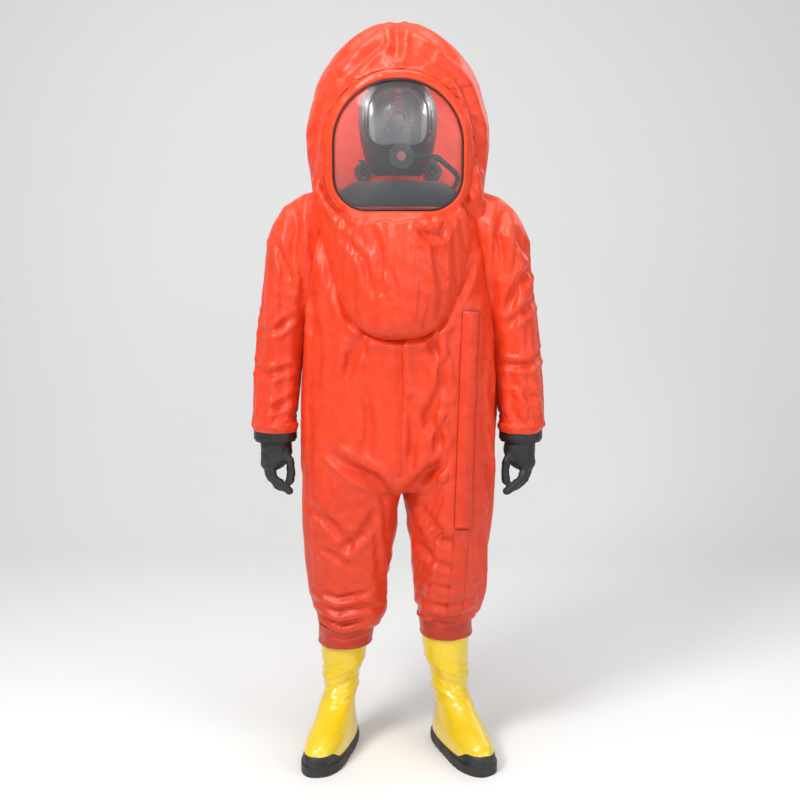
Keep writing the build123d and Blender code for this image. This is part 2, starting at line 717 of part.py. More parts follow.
seal_shell = shell(HEAD, 6.0, 4.0)
valve_axis = Plane(origin=(VALVE_AXIS_X, 0, VALVE_AXIS_Z), z_dir=(0, -1, 0))
port_bore = valve_axis * Cylinder(20.4, 320)
cup_bore = valve_axis * Cylinder(21, 320)
with BuildPart() as mask_seal:
    add(face_window(24, 60))
    add(face_window(7 + GAP), mode=Mode.SUBTRACT)
    add(seal_shell, mode=Mode.INTERSECT)
    add(port_bore, mode=Mode.SUBTRACT)
save(mask_seal.part, "mask_seal")

cup_middle = Location((0, -52, 1560))
with BuildPart() as nose_cup:
    with Locations(cup_middle):
        Sphere(36)
        Sphere(33, mode=Mode.SUBTRACT)
    split(bisect_by=Plane(origin=(0, -50, 0), z_dir=(0, 1, 0)), keep=Keep.BOTTOM)
    add(cup_bore, mode=Mode.SUBTRACT)
save(nose_cup.part, "nose_cup")

net_shell = dome(HEAD, 1.0, 2.5)
with BuildPart() as head_net:
    add(net_shell)
    with Locations((0, -150, 1600)):
        Box(400, 260, 600, mode=Mode.SUBTRACT)
    with Locations((0, 40, 1478)):
        Box(400, 400, 30, mode=Mode.SUBTRACT)
save(head_net.part, "head_net")

front = Plane(origin=(VALVE_AXIS_X, -150, VALVE_AXIS_Z), x_dir=(1, 0, 0), z_dir=(0, -1, 0))
with BuildPart() as demand_valve:
    with BuildSketch(front.offset(-75)):
        Circle(20)
    extrude(amount=47)
    with BuildSketch(front.offset(-28)):
        Circle(31)
    extrude(amount=24)
    with BuildSketch(front.offset(-8)):
        Circle(11.4)
    extrude(amount=6, mode=Mode.SUBTRACT)
    with BuildSketch(Plane(origin=(VALVE_AXIS_X + 28, -134, VALVE_AXIS_Z), x_dir=(0, 1, 0), z_dir=(1, 0, 0))):
        Circle(8)
    extrude(amount=18)
    fillet(demand_valve.edges().filter_by(GeomType.CIRCLE).filter_by(lambda e: abs(e.radius - 31) < 0.1), 2.5)
save(demand_valve.part, "demand_valve")

with BuildPart() as purge_button:
    with BuildSketch(front.offset(-8 + 3.4)):
        Circle(11)
    extrude(amount=3.6)
save(purge_button.part, "purge_button")

HOSE_R = 6.5
REDUCER_Y, REDUCER_Z = 117.0, 967.0
hose_points = [
    (VALVE_AXIS_X + 46.4, -134, VALVE_AXIS_Z),
    (VALVE_AXIS_X + 84, -134, VALVE_AXIS_Z),
    (118, -118, 1500),
    (146, -70, 1478),
    (150, 0, 1468),
    (140, 66, 1452),
    (112, 110, 1400),
    (92, REDUCER_Y, 1335),
    (88, REDUCER_Y, REDUCER_Z),
    (20 + GAP, REDUCER_Y, REDUCER_Z),
]


def hose_radii(points):
    """Largest arc at each corner: 0.45 of the shorter run over the tangent of half the turn."""
    radii = []
    for a, b, c in zip(points, points[1:], points[2:]):
        run_in, run_out = Vector(b) - Vector(a), Vector(c) - Vector(b)
        turn = radians(run_in.get_angle(run_out))
        radii.append(0.45 * min(run_in.length, run_out.length) / (sin(turn / 2) / cos(turn / 2)))
    return radii


with BuildPart() as air_hose:
    with BuildLine() as hose_path:
        FilletPolyline(*hose_points, radius=hose_radii(hose_points))
    with BuildSketch(Plane(origin=hose_points[0], z_dir=(1, 0, 0))):
        Circle(HOSE_R)
    sweep()
save(air_hose.part, "air_hose")

# ---------------------------------------------------------------- breathing set in the pouch
yoke_shell = shell(YOKE, 0, 8.0)
with BuildPart() as harness_yoke:
    add(yoke_shell)
save(harness_yoke.part, "harness_yoke")

PLATE_Y, PLATE_LOW_Z, PLATE_HIGH_Z = 84.0, 930.0, 1329.5
with BuildPart() as backplate:
    with BuildSketch(Plane(origin=(0, PLATE_Y, (PLATE_LOW_Z + PLATE_HIGH_Z) / 2), x_dir=(1, 0, 0), z_dir=(0, -1, 0))):
        RectangleRounded(190, PLATE_HIGH_Z - PLATE_LOW_Z, 50)
    extrude(amount=-7)
save(backplate.part, "backplate")

BELT_LOW_Z, BELT_WIDTH, BELT_THICKNESS = 940.0, 40.0, 2.6
belt_back, belt_front = PLATE_Y + 7 + GAP + BELT_THICKNESS, -108.0
with BuildPart() as waist_belt:
    with BuildSketch(Plane.XY.offset(BELT_LOW_Z)):
        with Locations((0, (belt_back + belt_front) / 2)):
            RectangleRounded(320, belt_back - belt_front, 60)
        offset(amount=-BELT_THICKNESS, mode=Mode.SUBTRACT)
    extrude(amount=BELT_WIDTH)
save(waist_belt.part, "waist_belt")

CYLINDER_R, CYLINDER_Y = 58.0, 156.0
CYLINDER_LOW_Z, CYLINDER_HIGH_Z = 985.0, 1312.0
with BuildPart() as air_cylinder:
    with BuildSketch(Plane(origin=(0, CYLINDER_Y, 0), x_dir=(1, 0, 0), z_dir=(0, -1, 0))):
        with BuildLine():
            Polyline(
                (0, CYLINDER_HIGH_Z),
                (0, CYLINDER_HIGH_Z - 6),
                (CYLINDER_R - 28, CYLINDER_HIGH_Z - 16),
                (CYLINDER_R - 6, CYLINDER_HIGH_Z - 50),
                (CYLINDER_R - 6, CYLINDER_LOW_Z + 57),
                (CYLINDER_R - 28, CYLINDER_LOW_Z + 27),
                (6, CYLINDER_LOW_Z + 21),
                (6, CYLINDER_LOW_Z),
                (14, CYLINDER_LOW_Z),
                (14, CYLINDER_LOW_Z + 8),
                (CYLINDER_R - 18, CYLINDER_LOW_Z + 18),
                (CYLINDER_R, CYLINDER_LOW_Z + 50),
                (CYLINDER_R, CYLINDER_HIGH_Z - 42),
                (CYLINDER_R - 6, CYLINDER_HIGH_Z - 22),
                (CYLINDER_R - 24, CYLINDER_HIGH_Z - 8),
                close=True,
            )
        make_face()
    revolve(axis=Axis((0, CYLINDER_Y, 0), (0, 0, 1)))
save(air_cylinder.part, "air_cylinder")

with BuildPart() as cylinder_valve:
    with Locations((0, CYLINDER_Y, CYLINDER_LOW_Z - GAP - 16)):
        Cylinder(16, 32)
    with Locations(Plane(origin=(0, CYLINDER_Y, REDUCER_Z), z_dir=(1, 0, 0))):
        Cylinder(9, 76)
save(cylinder_valve.part, "cylinder_valve")

with BuildPart() as pressure_reducer:
    with Locations((0, REDUCER_Y + 0.5, REDUCER_Z)):
        Box(40, 43, 26)
        fillet(pressure_reducer.edges().filter_by(Axis.Y), 3)
save(pressure_reducer.part, "pressure_reducer")

with BuildPart() as handwheel:
    with BuildSketch(Plane(origin=(-38 - GAP, CYLINDER_Y, REDUCER_Z), z_dir=(-1, 0, 0))):
        Circle(20)
        with PolarLocations(21, 8):
            Circle(4, mode=Mode.SUBTRACT)
    extrude(amount=22)
save(handwheel.part, "handwheel")

with BuildPart() as cylinder_strap:
    with BuildSketch(Plane.XY.offset(1180)):
        with Locations((0, CYLINDER_Y)):
            Circle(CYLINDER_R + 3)
            Circle(CYLINDER_R + GAP, mode=Mode.SUBTRACT)
    extrude(amount=40)
    split(bisect_by=Plane(origin=(0, PLATE_Y + 7 + GAP, 0), z_dir=(0, 1, 0)), keep=Keep.TOP)
save(cylinder_strap.part, "cylinder_strap")

for label, plane in (("inlet", inlet_plane), *valve_planes.items()):
    print(label, "origin", tuple(round(v, 3) for v in plane.origin), "facing", tuple(round(v, 5) for v in plane.z_dir))
print("zip up", tuple(round(v, 5) for v in zip_up), "across", tuple(round(v, 5) for v in zip_across))
print("zip out", tuple(round(v, 5) for v in zip_out), "hose", round(sum(e.length for e in hose_path.edges())))
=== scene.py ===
import bpy
import bmesh
import json
import numpy as np
from math import cos, pi, radians, sin, sqrt
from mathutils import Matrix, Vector, noise
from mathutils.bvhtree import BVHTree


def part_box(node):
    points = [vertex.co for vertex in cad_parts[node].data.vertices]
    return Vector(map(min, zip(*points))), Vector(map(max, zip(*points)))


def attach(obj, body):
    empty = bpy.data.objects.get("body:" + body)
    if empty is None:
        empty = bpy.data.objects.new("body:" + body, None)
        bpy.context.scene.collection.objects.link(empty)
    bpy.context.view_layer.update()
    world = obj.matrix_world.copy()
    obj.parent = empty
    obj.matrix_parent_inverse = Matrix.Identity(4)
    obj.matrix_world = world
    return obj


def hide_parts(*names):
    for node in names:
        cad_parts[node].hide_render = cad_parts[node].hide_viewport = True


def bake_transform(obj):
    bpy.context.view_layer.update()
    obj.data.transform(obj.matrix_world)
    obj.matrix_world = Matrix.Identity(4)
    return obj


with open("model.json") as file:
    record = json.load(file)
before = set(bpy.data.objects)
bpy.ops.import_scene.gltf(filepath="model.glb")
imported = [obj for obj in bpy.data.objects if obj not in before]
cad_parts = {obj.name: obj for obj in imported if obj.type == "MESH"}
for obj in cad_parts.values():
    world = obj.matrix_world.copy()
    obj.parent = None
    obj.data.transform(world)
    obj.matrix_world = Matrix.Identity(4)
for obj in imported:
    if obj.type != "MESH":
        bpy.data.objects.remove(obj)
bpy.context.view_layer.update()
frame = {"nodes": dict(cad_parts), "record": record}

SIDES = (("left", 1), ("right", -1))
CLOTH = 0.0015
SUIT_VOXEL, HOOD_VOXEL = 0.009, 0.008
HEM_LOW = {"right": 0.274, "left": 0.297}
SHOULDER_TOP = 1.40
BUMPER_BACK, BUMPER_MID = 0.168, 0.040


# ---------------------------------------------------------------- mesh helpers
def link(name, verts, faces, smooth=True):
    mesh = bpy.data.meshes.new(name)
    mesh.from_pydata([tuple(v) for v in verts], [], faces)
    mesh.update()
    obj = bpy.data.objects.new(name, mesh)
    bpy.context.scene.collection.objects.link(obj)
    if smooth:
        mesh.polygons.foreach_set("use_smooth", [True] * len(mesh.polygons))
    return obj


def apply(obj):
    graph = bpy.context.evaluated_depsgraph_get()
    mesh = bpy.data.meshes.new_from_object(obj.evaluated_get(graph))
    obj.modifiers.clear()
    old = obj.data
    obj.data = mesh
    bpy.data.meshes.remove(old)
    mesh.polygons.foreach_set("use_smooth", [True] * len(mesh.polygons))
    return obj


def points(obj):
    co = np.empty(len(obj.data.vertices) * 3)
    obj.data.vertices.foreach_get("co", co)
    return co.reshape(-1, 3)


def normals(obj):
    no = np.empty(len(obj.data.vertices) * 3)
    obj.data.vertices.foreach_get("normal", no)
    return no.reshape(-1, 3)


def move(obj, co):
    obj.data.vertices.foreach_set("co", np.ascontiguousarray(co).ravel())
    obj.data.update()


def interpolate(levels, count):
    """Levels (z, x, y, half width, half depth, roundness) resampled evenly along z with a smooth curve."""
    table = np.array(levels, float)
    z = np.linspace(table[0, 0], table[-1, 0], count)
    out = [z]
    for column in range(1, table.shape[1]):
        out.append(pchip(table[:, 0], table[:, column], z))
    return np.array(out).T


def pchip(x, y, xi):
    h = np.diff(x)
    d = np.diff(y) / h
    m = np.zeros(len(x))
    m[0], m[-1] = d[0], d[-1]
    for i in range(1, len(x) - 1):
        if d[i - 1] * d[i] > 0:
            w1, w2 = 2 * h[i] + h[i - 1], h[i] + 2 * h[i - 1]
            m[i] = (w1 + w2) / (w1 / d[i - 1] + w2 / d[i])
    k = np.clip(np.searchsorted(x, xi) - 1, 0, len(x) - 2)
    t = (xi - x[k]) / h[k]
    h00, h10 = 2 * t**3 - 3 * t**2 + 1, t**3 - 2 * t**2 + t
    h01, h11 = -2 * t**3 + 3 * t**2, t**3 - t**2
    return h00 * y[k] + h10 * h[k] * m[k] + h01 * y[k + 1] + h11 * h[k] * m[k + 1]


def tube(name, levels, ring=96, rows=90, cap=True, power=2.0):
    """Closed tube through superellipses; lengths in millimetres."""
    rows_at = interpolate(levels, rows)
    verts, faces = [], []
    for row in rows_at:
        z, x, y, a, b = row[:5]
        n = row[5] if len(row) > 5 else power
        for k in range(ring):
            t = 2 * pi * k / ring
            c, s = cos(t), sin(t)
            wide = a * abs(c) ** (2 / n) * (1 if c >= 0 else -1)
            deep = b * abs(s) ** (2 / n) * (1 if s >= 0 else -1)
            verts.append(((x + wide) / 1000, (y + deep) / 1000, z / 1000))
    for r in range(rows - 1):
        for k in range(ring):
            j = (k + 1) % ring
            faces.append((r * ring + k, r * ring + j, (r + 1) * ring + j, (r + 1) * ring + k))
    if cap:
        faces.append(tuple(range(ring - 1, -1, -1)))
        faces.append(tuple((rows - 1) * ring + k for k in range(ring)))
    return link(name, verts, faces)


def fuse(name, objs, voxel, rounds=3, relax=0.5):
    """Joins closed forms into one skin."""
    verts, faces = [], []
    for obj in objs:
        base = len(verts)
        verts += [tuple(v.co) for v in obj.data.vertices]
        faces += [tuple(base + i for i in p.vertices) for p in obj.data.polygons]
        bpy.data.objects.remove(obj)
    out = link(name, verts, faces)
    remesh = out.modifiers.new("skin", "REMESH")
    remesh.mode = "VOXEL"
    remesh.voxel_size = voxel
    smooth = out.modifiers.new("relax", "SMOOTH")
    smooth.factor = relax
    smooth.iterations = rounds
    return apply(out)


def delete_faces(obj, keep):
    """Keeps the faces for which keep(centre, normal) is true."""
    bm = bmesh.new()
    bm.from_mesh(obj.data)
    gone = [f for f in bm.faces if not keep(f.calc_center_median(), f.normal)]
    bmesh.ops.delete(bm, geom=gone, context="FACES")
    bm.to_mesh(obj.data)
    bm.free()
    obj.data.update()


def even_edge(obj, rounds=12):
    """Smooths the open edges left by a cut."""
    bm = bmesh.new()
    bm.from_mesh(obj.data)
    edge_verts = [v for v in bm.verts if any(e.is_boundary for e in v.link_edges)]
    for _ in range(rounds):
        new = {}
        for v in edge_verts:
            near = [e.other_vert(v).co for e in v.link_edges if e.is_boundary]
            if len(near) == 2:
                new[v] = v.co * 0.5 + (near[0] + near[1]) * 0.25
        for v, co in new.items():
            v.co = co
    bm.to_mesh(obj.data)
    bm.free()


def subdivide(obj, levels=1):
    sub = obj.modifiers.new("fine", "SUBSURF")
    sub.levels = sub.render_levels = levels
    return apply(obj)


def thicken(obj, thickness):
    solid = obj.modifiers.new("cloth", "SOLIDIFY")
    solid.thickness = thickness
    solid.offset = -1
    return apply(obj)


def ramp(value, low, high):
    t = np.clip((value - low) / (high - low), 0, 1)
    return t * t * (3 - 2 * t)


def fbm(co, scale, seed, octaves=3):
    out = np.empty(len(co))
    for i, p in enumerate(co):
        place = (p[0] * scale[0] + seed, p[1] * scale[1], p[2] * scale[2])
        out[i] = noise.fractal(place, 1.0, 2.0, octaves, noise_basis="PERLIN_ORIGINAL")
    return out


def strokes(obj, lines, facing=-1):
    """Folds drawn on the side of a piece that faces -Y (or +Y).

    A line is (width, depth, (x, z), (x, z), ...), in mm.
    """
    co, no = points(obj), normals(obj)
    side = ramp(no[:, 1] * facing, -0.05, 0.35)
    push = np.zeros(len(co))
    flat = co[:, (0, 2)] * 1000
    for width, depth, *path in lines:
        path = np.array(path, float)
        best = np.full(len(co), 1e9)
        along = np.zeros(len(co))
        total = sum(np.hypot(*(q - p)) for p, q in zip(path, path[1:]))
        done = 0.0
        for p, q in zip(path, path[1:]):
            run = q - p
            length = np.hypot(*run)
            t = np.clip(((flat - p) @ run) / length**2, 0, 1)
            d = np.hypot(*(flat - p - t[:, None] * run).T)
            near = d < best
            best[near] = d[near]
            along[near] = (done + t[near] * length) / total
            done += length
        taper = np.sin(pi * np.clip(along * 0.86 + 0.07, 0, 1)) ** 0.7
        u = best / width
        shape = -np.exp(-(u**2)) + 0.55 * np.exp(-((u - 1.9) ** 2) / 0.8)
        push += depth / 1000 * shape * taper
    co = co + no * (push * side)[:, None]
    move(obj, co)


def crumple(obj, depth, seed, scale):
    """Sharp small creases: ridges of a noise that runs across the piece."""
    co, no = points(obj), normals(obj)
    push = np.empty(len(co))
    for i, p in enumerate(co):
        x, y, z = p[0] * scale[0] + seed, p[1] * scale[1], p[2] * scale[2]
        bend = noise.noise((x * 0.4, y * 0.4, z * 0.4 + 7))
        ridge = 1 - 2.2 * abs(noise.noise((x + bend * 1.6, y, z + x * 0.5 + bend)))
        patch = 0.5 + 0.9 * noise.noise((x * 0.3 + 11, y * 0.3, z * 0.25))
        push[i] = max(ridge, -0.2) * max(0.0, min(1.2, patch))
    move(obj, co + no * (depth * push)[:, None])


def keep_normals(obj):
    note = obj.data.attributes.new("sewn", "FLOAT_VECTOR", "POINT")
    note.data.foreach_set("vector", np.ascontiguousarray(normals(obj)).ravel())


def use_normals(obj):
    """Shades a cut piece like the whole it was cut from, so that the cut does not show."""
    note = obj.data.attributes["sewn"]
    value = np.empty(len(obj.data.vertices) * 3)
    note.data.foreach_get("vector", value)
    obj.data.attributes.remove(note)
    obj.data.normals_split_custom_set_from_vertices([tuple(v) for v in value.reshape(-1, 3)])


def from_cad(name, node, voxel, rounds, material, body, depth=0.0008, scale=(60, 60, 60)):
    """A soft piece made over from its CAD solid: one relaxed skin with an uneven surface."""
    cad = frame["nodes"][node]
    obj = bpy.data.objects.new(name, cad.data.copy())
    bpy.context.scene.collection.objects.link(obj)
    remesh = obj.modifiers.new("skin", "REMESH")
    remesh.mode = "VOXEL"
    remesh.voxel_size = voxel
    relax = obj.modifiers.new("relax", "SMOOTH")
    relax.iterations = rounds
    apply(obj)
    co, no = points(obj), normals(obj)
    move(obj, co + no * (fbm(co, scale, 2.0) * depth)[:, None])
    finish_piece(obj, material, body)
    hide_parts(node)
    return obj


def settle(obj, pin, frames, slack, pressure, cap, gravity=1.0, bending=0.5):
    """Cloth simulation with its result applied. pin is a weight for each vertex; cap limits the travel."""
    rest, outward = points(obj), normals(obj)
    group = obj.vertex_groups.new(name="pin")
    for i, w in enumerate(pin):
        if w > 0.001:
            group.add([i], float(w), "REPLACE")
    cloth = obj.modifiers.new("drape", "CLOTH")
    s = cloth.settings
    s.quality = 5
    s.mass = 0.25
    s.tension_stiffness = s.compression_stiffness = 12
    s.shear_stiffness = 6
    s.bending_stiffness = bending
    s.air_damping = 2
    s.vertex_group_mass = "pin"
    s.pin_stiffness = 1
    s.shrink_min = -slack
    s.use_pressure = pressure != 0
    s.uniform_pressure_force = pressure
    s.effector_weights.gravity = gravity
    cloth.collision_settings.use_collision = False
    cloth.point_cache.frame_start = 1
    cloth.point_cache.frame_end = frames
    scene = bpy.context.scene
    for f in range(1, frames + 1):
        scene.frame_set(f)
    graph = bpy.context.evaluated_depsgraph_get()
    mesh = bpy.data.meshes.new_from_object(obj.evaluated_get(graph))
    co = np.empty(len(mesh.vertices) * 3)
    mesh.vertices.foreach_get("co", co)
    co = co.reshape(-1, 3)
    bpy.data.meshes.remove(mesh)
    obj.modifiers.clear()
    obj.vertex_groups.clear()
    step = co - rest
    size = np.linalg.norm(step, axis=1)
    step *= (cap * np.tanh(size / cap) / np.maximum(size, 1e-9))[:, None]
    loose = 1 - np.clip(pin, 0, 1)
    sink = (step * outward).sum(1)
    mean = (sink * loose).sum() / loose.sum()
    move(obj, rest + step - outward * (mean * loose)[:, None])
    scene.frame_set(1)


# ---------------------------------------------------------------- materials
def shader(name, base, rough, coat=0.0, metallic=0.0, spec=0.5):
    mat = bpy.data.materials.new(name)
    mat.use_nodes = True
    tree = mat.node_tree
    b = tree.nodes["Principled BSDF"]
    b.inputs["Base Color"].default_value = (*base, 1)
    b.inputs["Roughness"].default_value = rough
    b.inputs["Coat Weight"].default_value = coat
    b.inputs["Metallic"].default_value = metallic
    b.inputs["Specular IOR Level"].default_value = spec
    return mat, tree, b


def node(tree, kind, **values):
    n = tree.nodes.new(kind)
    for key, value in values.items():
        if key in n.inputs:
            n.inputs[key].default_value = value
        else:
            setattr(n, key, value)
    return n


def noise_ramp(tree, scale, low, high, detail=4.0, coord=None, stretch=None):
    """Noise mapped to a range, as a value socket."""
    n = node(tree, "ShaderNodeTexNoise", Scale=scale, Detail=detail)
    if stretch:
        mapping = node(tree, "ShaderNodeMapping")
        mapping.inputs["Scale"].default_value = stretch
        tree.links.new(coord, mapping.inputs["Vector"])
        tree.links.new(mapping.outputs[0], n.inputs["Vector"])
    elif coord:
        tree.links.new(coord, n.inputs["Vector"])
    r = node(tree, "ShaderNodeMapRange")
    r.inputs["From Min"].default_value, r.inputs["From Max"].default_value = 0.3, 0.7
    r.inputs["To Min"].default_value, r.inputs["To Max"].default_value = low, high
    tree.links.new(n.outputs["Fac"], r.inputs["Value"])
    return r.outputs["Result"]


def mix_colour(tree, factor, a, b, blend="MIX"):
    m = node(tree, "ShaderNodeMix", data_type="RGBA", blend_type=blend)
    tree.links.new(factor, m.inputs[0])
    for socket, value in ((m.inputs[6], a), (m.inputs[7], b)):
        if isinstance(value, tuple):
            socket.default_value = (*value, 1)
        else:
            tree.links.new(value, socket)
    return m.outputs[2]


def bumps(tree, b, layers):
    """Chains bump nodes: (height socket, strength, distance)."""
    last = None
    for height, strength, distance in layers:
        bump = node(tree, "ShaderNodeBump")
        bump.inputs["Strength"].default_value = strength
        bump.inputs["Distance"].default_value = distance
        tree.links.new(height, bump.inputs["Height"])
        if last:
            tree.links.new(last, bump.inputs["Normal"])
        last = bump.outputs["Normal"]
    tree.links.new(last, b.inputs["Normal"])


def coated_fabric(name, base, worn, rough=0.4, floor_shade=0.0):
    """Heavy coated cloth: satin coat, fine weave, soft creasing, scuffs, and painted shade that darkens it
    towards the floor.
    """
    mat, tree, b = shader(name, base, rough, coat=0.12, spec=0.32)
    b.inputs["Coat Roughness"].default_value = 0.28
    b.inputs["Sheen Weight"].default_value = 0.03
    b.inputs["Sheen Roughness"].default_value = 0.5
    place = node(tree, "ShaderNodeTexCoord").outputs["Object"]
    patches = noise_ramp(tree, 3.2, 0.0, 1.0, 5, place)
    colour = mix_colour(tree, patches, base, worn)
    scuffs = noise_ramp(tree, 46.0, 0.0, 0.28, 8, place)
    colour = mix_colour(tree, scuffs, colour, tuple(min(1, v * 1.35 + 0.03) for v in base))
    # Painted shade: the colour darkens from object height 0.85 m down to 0.25 m, broken up by stretched
    # noise, standing in for shade on the lower garment.
    split = node(tree, "ShaderNodeSeparateXYZ")
    tree.links.new(place, split.inputs[0])
    height = node(tree, "ShaderNodeMapRange")
    for key, value in (("From Min", 0.85), ("From Max", 0.25), ("To Min", 0.0), ("To Max", 0.55 + floor_shade)):
        height.inputs[key].default_value = value
    tree.links.new(split.outputs["Z"], height.inputs["Value"])
    shade_breakup = noise_ramp(tree, 7.0, 0.25, 1.0, 8, place, (1, 1, 0.35))
    floor_shade_amount = node(tree, "ShaderNodeMath", operation="MULTIPLY")
    tree.links.new(height.outputs[0], floor_shade_amount.inputs[0])
    tree.links.new(shade_breakup, floor_shade_amount.inputs[1])
    colour = mix_colour(tree, floor_shade_amount.outputs[0], colour, tuple(v * 0.36 + 0.012 for v in base))
    tree.links.new(colour, b.inputs["Base Color"])
    tree.links.new(noise_ramp(tree, 14.0, rough - 0.07, rough + 0.12, 6, place), b.inputs["Roughness"])
    weave_x = node(tree, "ShaderNodeTexWave", Scale=420.0, Distortion=0.6)
    weave_z = node(tree, "ShaderNodeTexWave", Scale=420.0, Distortion=0.6, bands_direction="Z")
    tree.links.new(place, weave_x.inputs["Vector"])
    tree.links.new(place, weave_z.inputs["Vector"])
    weave = node(tree, "ShaderNodeMath", operation="ADD")
    tree.links.new(weave_x.outputs["Fac"], weave.inputs[0])
    tree.links.new(weave_z.outputs["Fac"], weave.inputs[1])
    bumps(tree, b, (
        (noise_ramp(tree, 9.0, 0, 1, 3, place, (1, 1, 0.6)), 0.35, 0.02),
        (noise_ramp(tree, 34.0, 0, 1, 4, place), 0.25, 0.004),
        (weave.outputs[0], 0.12, 0.0003),
    ))
    return mat


def rubber(name, base, rough, coat=0.0, grain=90.0, depth=0.0008, dust=(0.3, 0.29, 0.27), dusty=0.12):
    mat, tree, b = shader(name, base, rough, coat=coat)
    b.inputs["Coat Roughness"].default_value = 0.12
    place = node(tree, "ShaderNodeTexCoord").outputs["Object"]
    tint = mix_colour(tree, noise_ramp(tree, 5.0, 0.0, 1.0, 5, place), base, tuple(v * 0.82 for v in base))
    tint = mix_colour(tree, noise_ramp(tree, 28.0, 0.0, dusty, 8, place), tint, dust)
    tree.links.new(tint, b.inputs["Base Color"])
    tree.links.new(noise_ramp(tree, 17.0, rough - 0.05, rough + 0.12, 6, place), b.inputs["Roughness"])
    bumps(tree, b, (
        (noise_ramp(tree, 20.0, 0, 1, 3, place), 0.12, 0.004),
        (noise_ramp(tree, grain * 10, 0, 1, 2, place), 0.2, depth),
    ))
    return mat


def webbing(name, base):
    mat, tree, b = shader(name, base, 0.8)
    place = node(tree, "ShaderNodeTexCoord").outputs["Object"]
    wave = node(tree, "ShaderNodeTexWave", Scale=180.0, Distortion=0.4, bands_direction="DIAGONAL")
    tree.links.new(place, wave.inputs["Vector"])
    thread = tuple(v * 1.9 + 0.01 for v in base)
    tree.links.new(mix_colour(tree, wave.outputs["Fac"], base, thread), b.inputs["Base Color"])
    bumps(tree, b, ((wave.outputs["Fac"], 0.5, 0.001), (noise_ramp(tree, 60, 0, 1, 4, place), 0.3, 0.002)))
    return mat


def metal(name, base, rough=0.32):
    mat, tree, b = shader(name, base, rough, metallic=1.0)
    place = node(tree, "ShaderNodeTexCoord").outputs["Object"]
    tree.links.new(noise_ramp(tree, 40, rough - 0.1, rough + 0.2, 6, place, (1, 1, 8)), b.inputs["Roughness"])
    dull = tuple(v * 0.75 for v in base)
    tree.links.new(mix_colour(tree, noise_ramp(tree, 20, 0, 1, 5, place), base, dull), b.inputs["Base Color"])
    bumps(tree, b, ((noise_ramp(tree, 300, 0, 1, 3, place), 0.1, 0.0005),))
    return mat


def film(name, tint, cover, rough=0.1):
    """Clear flexible film with a light haze and soft ripples."""
    mat, tree, b = shader(name, tint, rough, coat=0.6)
    b.inputs["Coat Roughness"].default_value = 0.05
    place = node(tree, "ShaderNodeTexCoord").outputs["Object"]
    bumps(tree, b, (
        (noise_ramp(tree, 6.0, 0, 1, 2, place, (1, 1, 0.5)), 0.35, 0.02),
        (noise_ramp(tree, 40.0, 0, 1, 3, place), 0.05, 0.002),
    ))
    tree.links.new(noise_ramp(tree, 12.0, rough, rough + 0.12, 5, place), b.inputs["Roughness"])
    clear = node(tree, "ShaderNodeBsdfTransparent")
    clear.inputs["Color"].default_value = (0.96, 0.97, 0.97, 1)
    edge = node(tree, "ShaderNodeFresnel", IOR=1.5)
    haze = noise_ramp(tree, 3.0, cover * 0.7, cover * 1.3, 6, place)
    total = node(tree, "ShaderNodeMath", operation="ADD", use_clamp=True)
    tree.links.new(edge.outputs[0], total.inputs[0])
    tree.links.new(haze, total.inputs[1])
    blend = node(tree, "ShaderNodeMixShader")
    tree.links.new(total.outputs[0], blend.inputs[0])
    tree.links.new(clear.outputs[0], blend.inputs[1])
    tree.links.new(b.outputs[0], blend.inputs[2])
    tree.links.new(blend.outputs[0], tree.nodes["Material Output"].inputs["Surface"])
    return mat


ORANGE = (0.70, 0.042, 0.004)
mats = {
    "suit_fabric": coated_fabric("suit_fabric", ORANGE, (0.62, 0.032, 0.004)),
    # This cloth gets a stronger painted shade towards the floor.
    "suit_fabric_dark": coated_fabric(
        "suit_fabric_dark", (0.58, 0.030, 0.004), (0.48, 0.023, 0.004), floor_shade=0.1
    ),
    "hood_fabric": coated_fabric("hood_fabric", ORANGE, (0.62, 0.032, 0.004), rough=0.36),
    "seam_tape": coated_fabric("seam_tape", (0.66, 0.037, 0.004), (0.58, 0.029, 0.004), rough=0.34),
    "rim": coated_fabric("rim", (0.72, 0.048, 0.006), (0.64, 0.04, 0.005), rough=0.33),
    "visor": film("visor", (0.50, 0.52, 0.53), 0.045),
    "mask_lens": film("mask_lens", (0.62, 0.64, 0.66), 0.15, 0.1),
    "boot_yellow": rubber(
        "boot_yellow", (0.86, 0.60, 0.004), 0.2, coat=0.7, dust=(0.5, 0.34, 0.02), dusty=0.16
    ),
    "sole_black": rubber("sole_black", (0.008, 0.008, 0.009), 0.55, dust=(0.09, 0.088, 0.084), dusty=0.3),
    "glove_black": rubber("glove_black", (0.007, 0.007, 0.008), 0.46, dust=(0.06, 0.06, 0.06), dusty=0.25),
    "ring_black": rubber(
        "ring_black", (0.008, 0.008, 0.009), 0.34, coat=0.1, dust=(0.06, 0.06, 0.06), dusty=0.15
    ),
    "valve_black": rubber("valve_black", (0.03, 0.03, 0.034), 0.34),
    "mask_black": rubber("mask_black", (0.012, 0.012, 0.014), 0.4, dust=(0.08, 0.08, 0.08)),
    "button_red": rubber("button_red", (0.72, 0.03, 0.02), 0.25, coat=0.4, dusty=0.05),
    "harness": webbing("harness", (0.022, 0.022, 0.026)),
    "plate": rubber("plate", (0.04, 0.04, 0.044), 0.45),
    "air_cylinder": rubber("air_cylinder", (0.42, 0.43, 0.40), 0.35, coat=0.3),
    "brass": metal("brass", (0.62, 0.46, 0.2)),
    "steel": metal("steel", (0.55, 0.55, 0.56)),
    "zip_metal": metal("zip_metal", (0.42, 0.33, 0.16)),
    "zip_tape": webbing("zip_tape", (0.03, 0.03, 0.03)),
}
slots = {s["node"]: s["material_slot"] for s in frame["record"]["subparts"]}
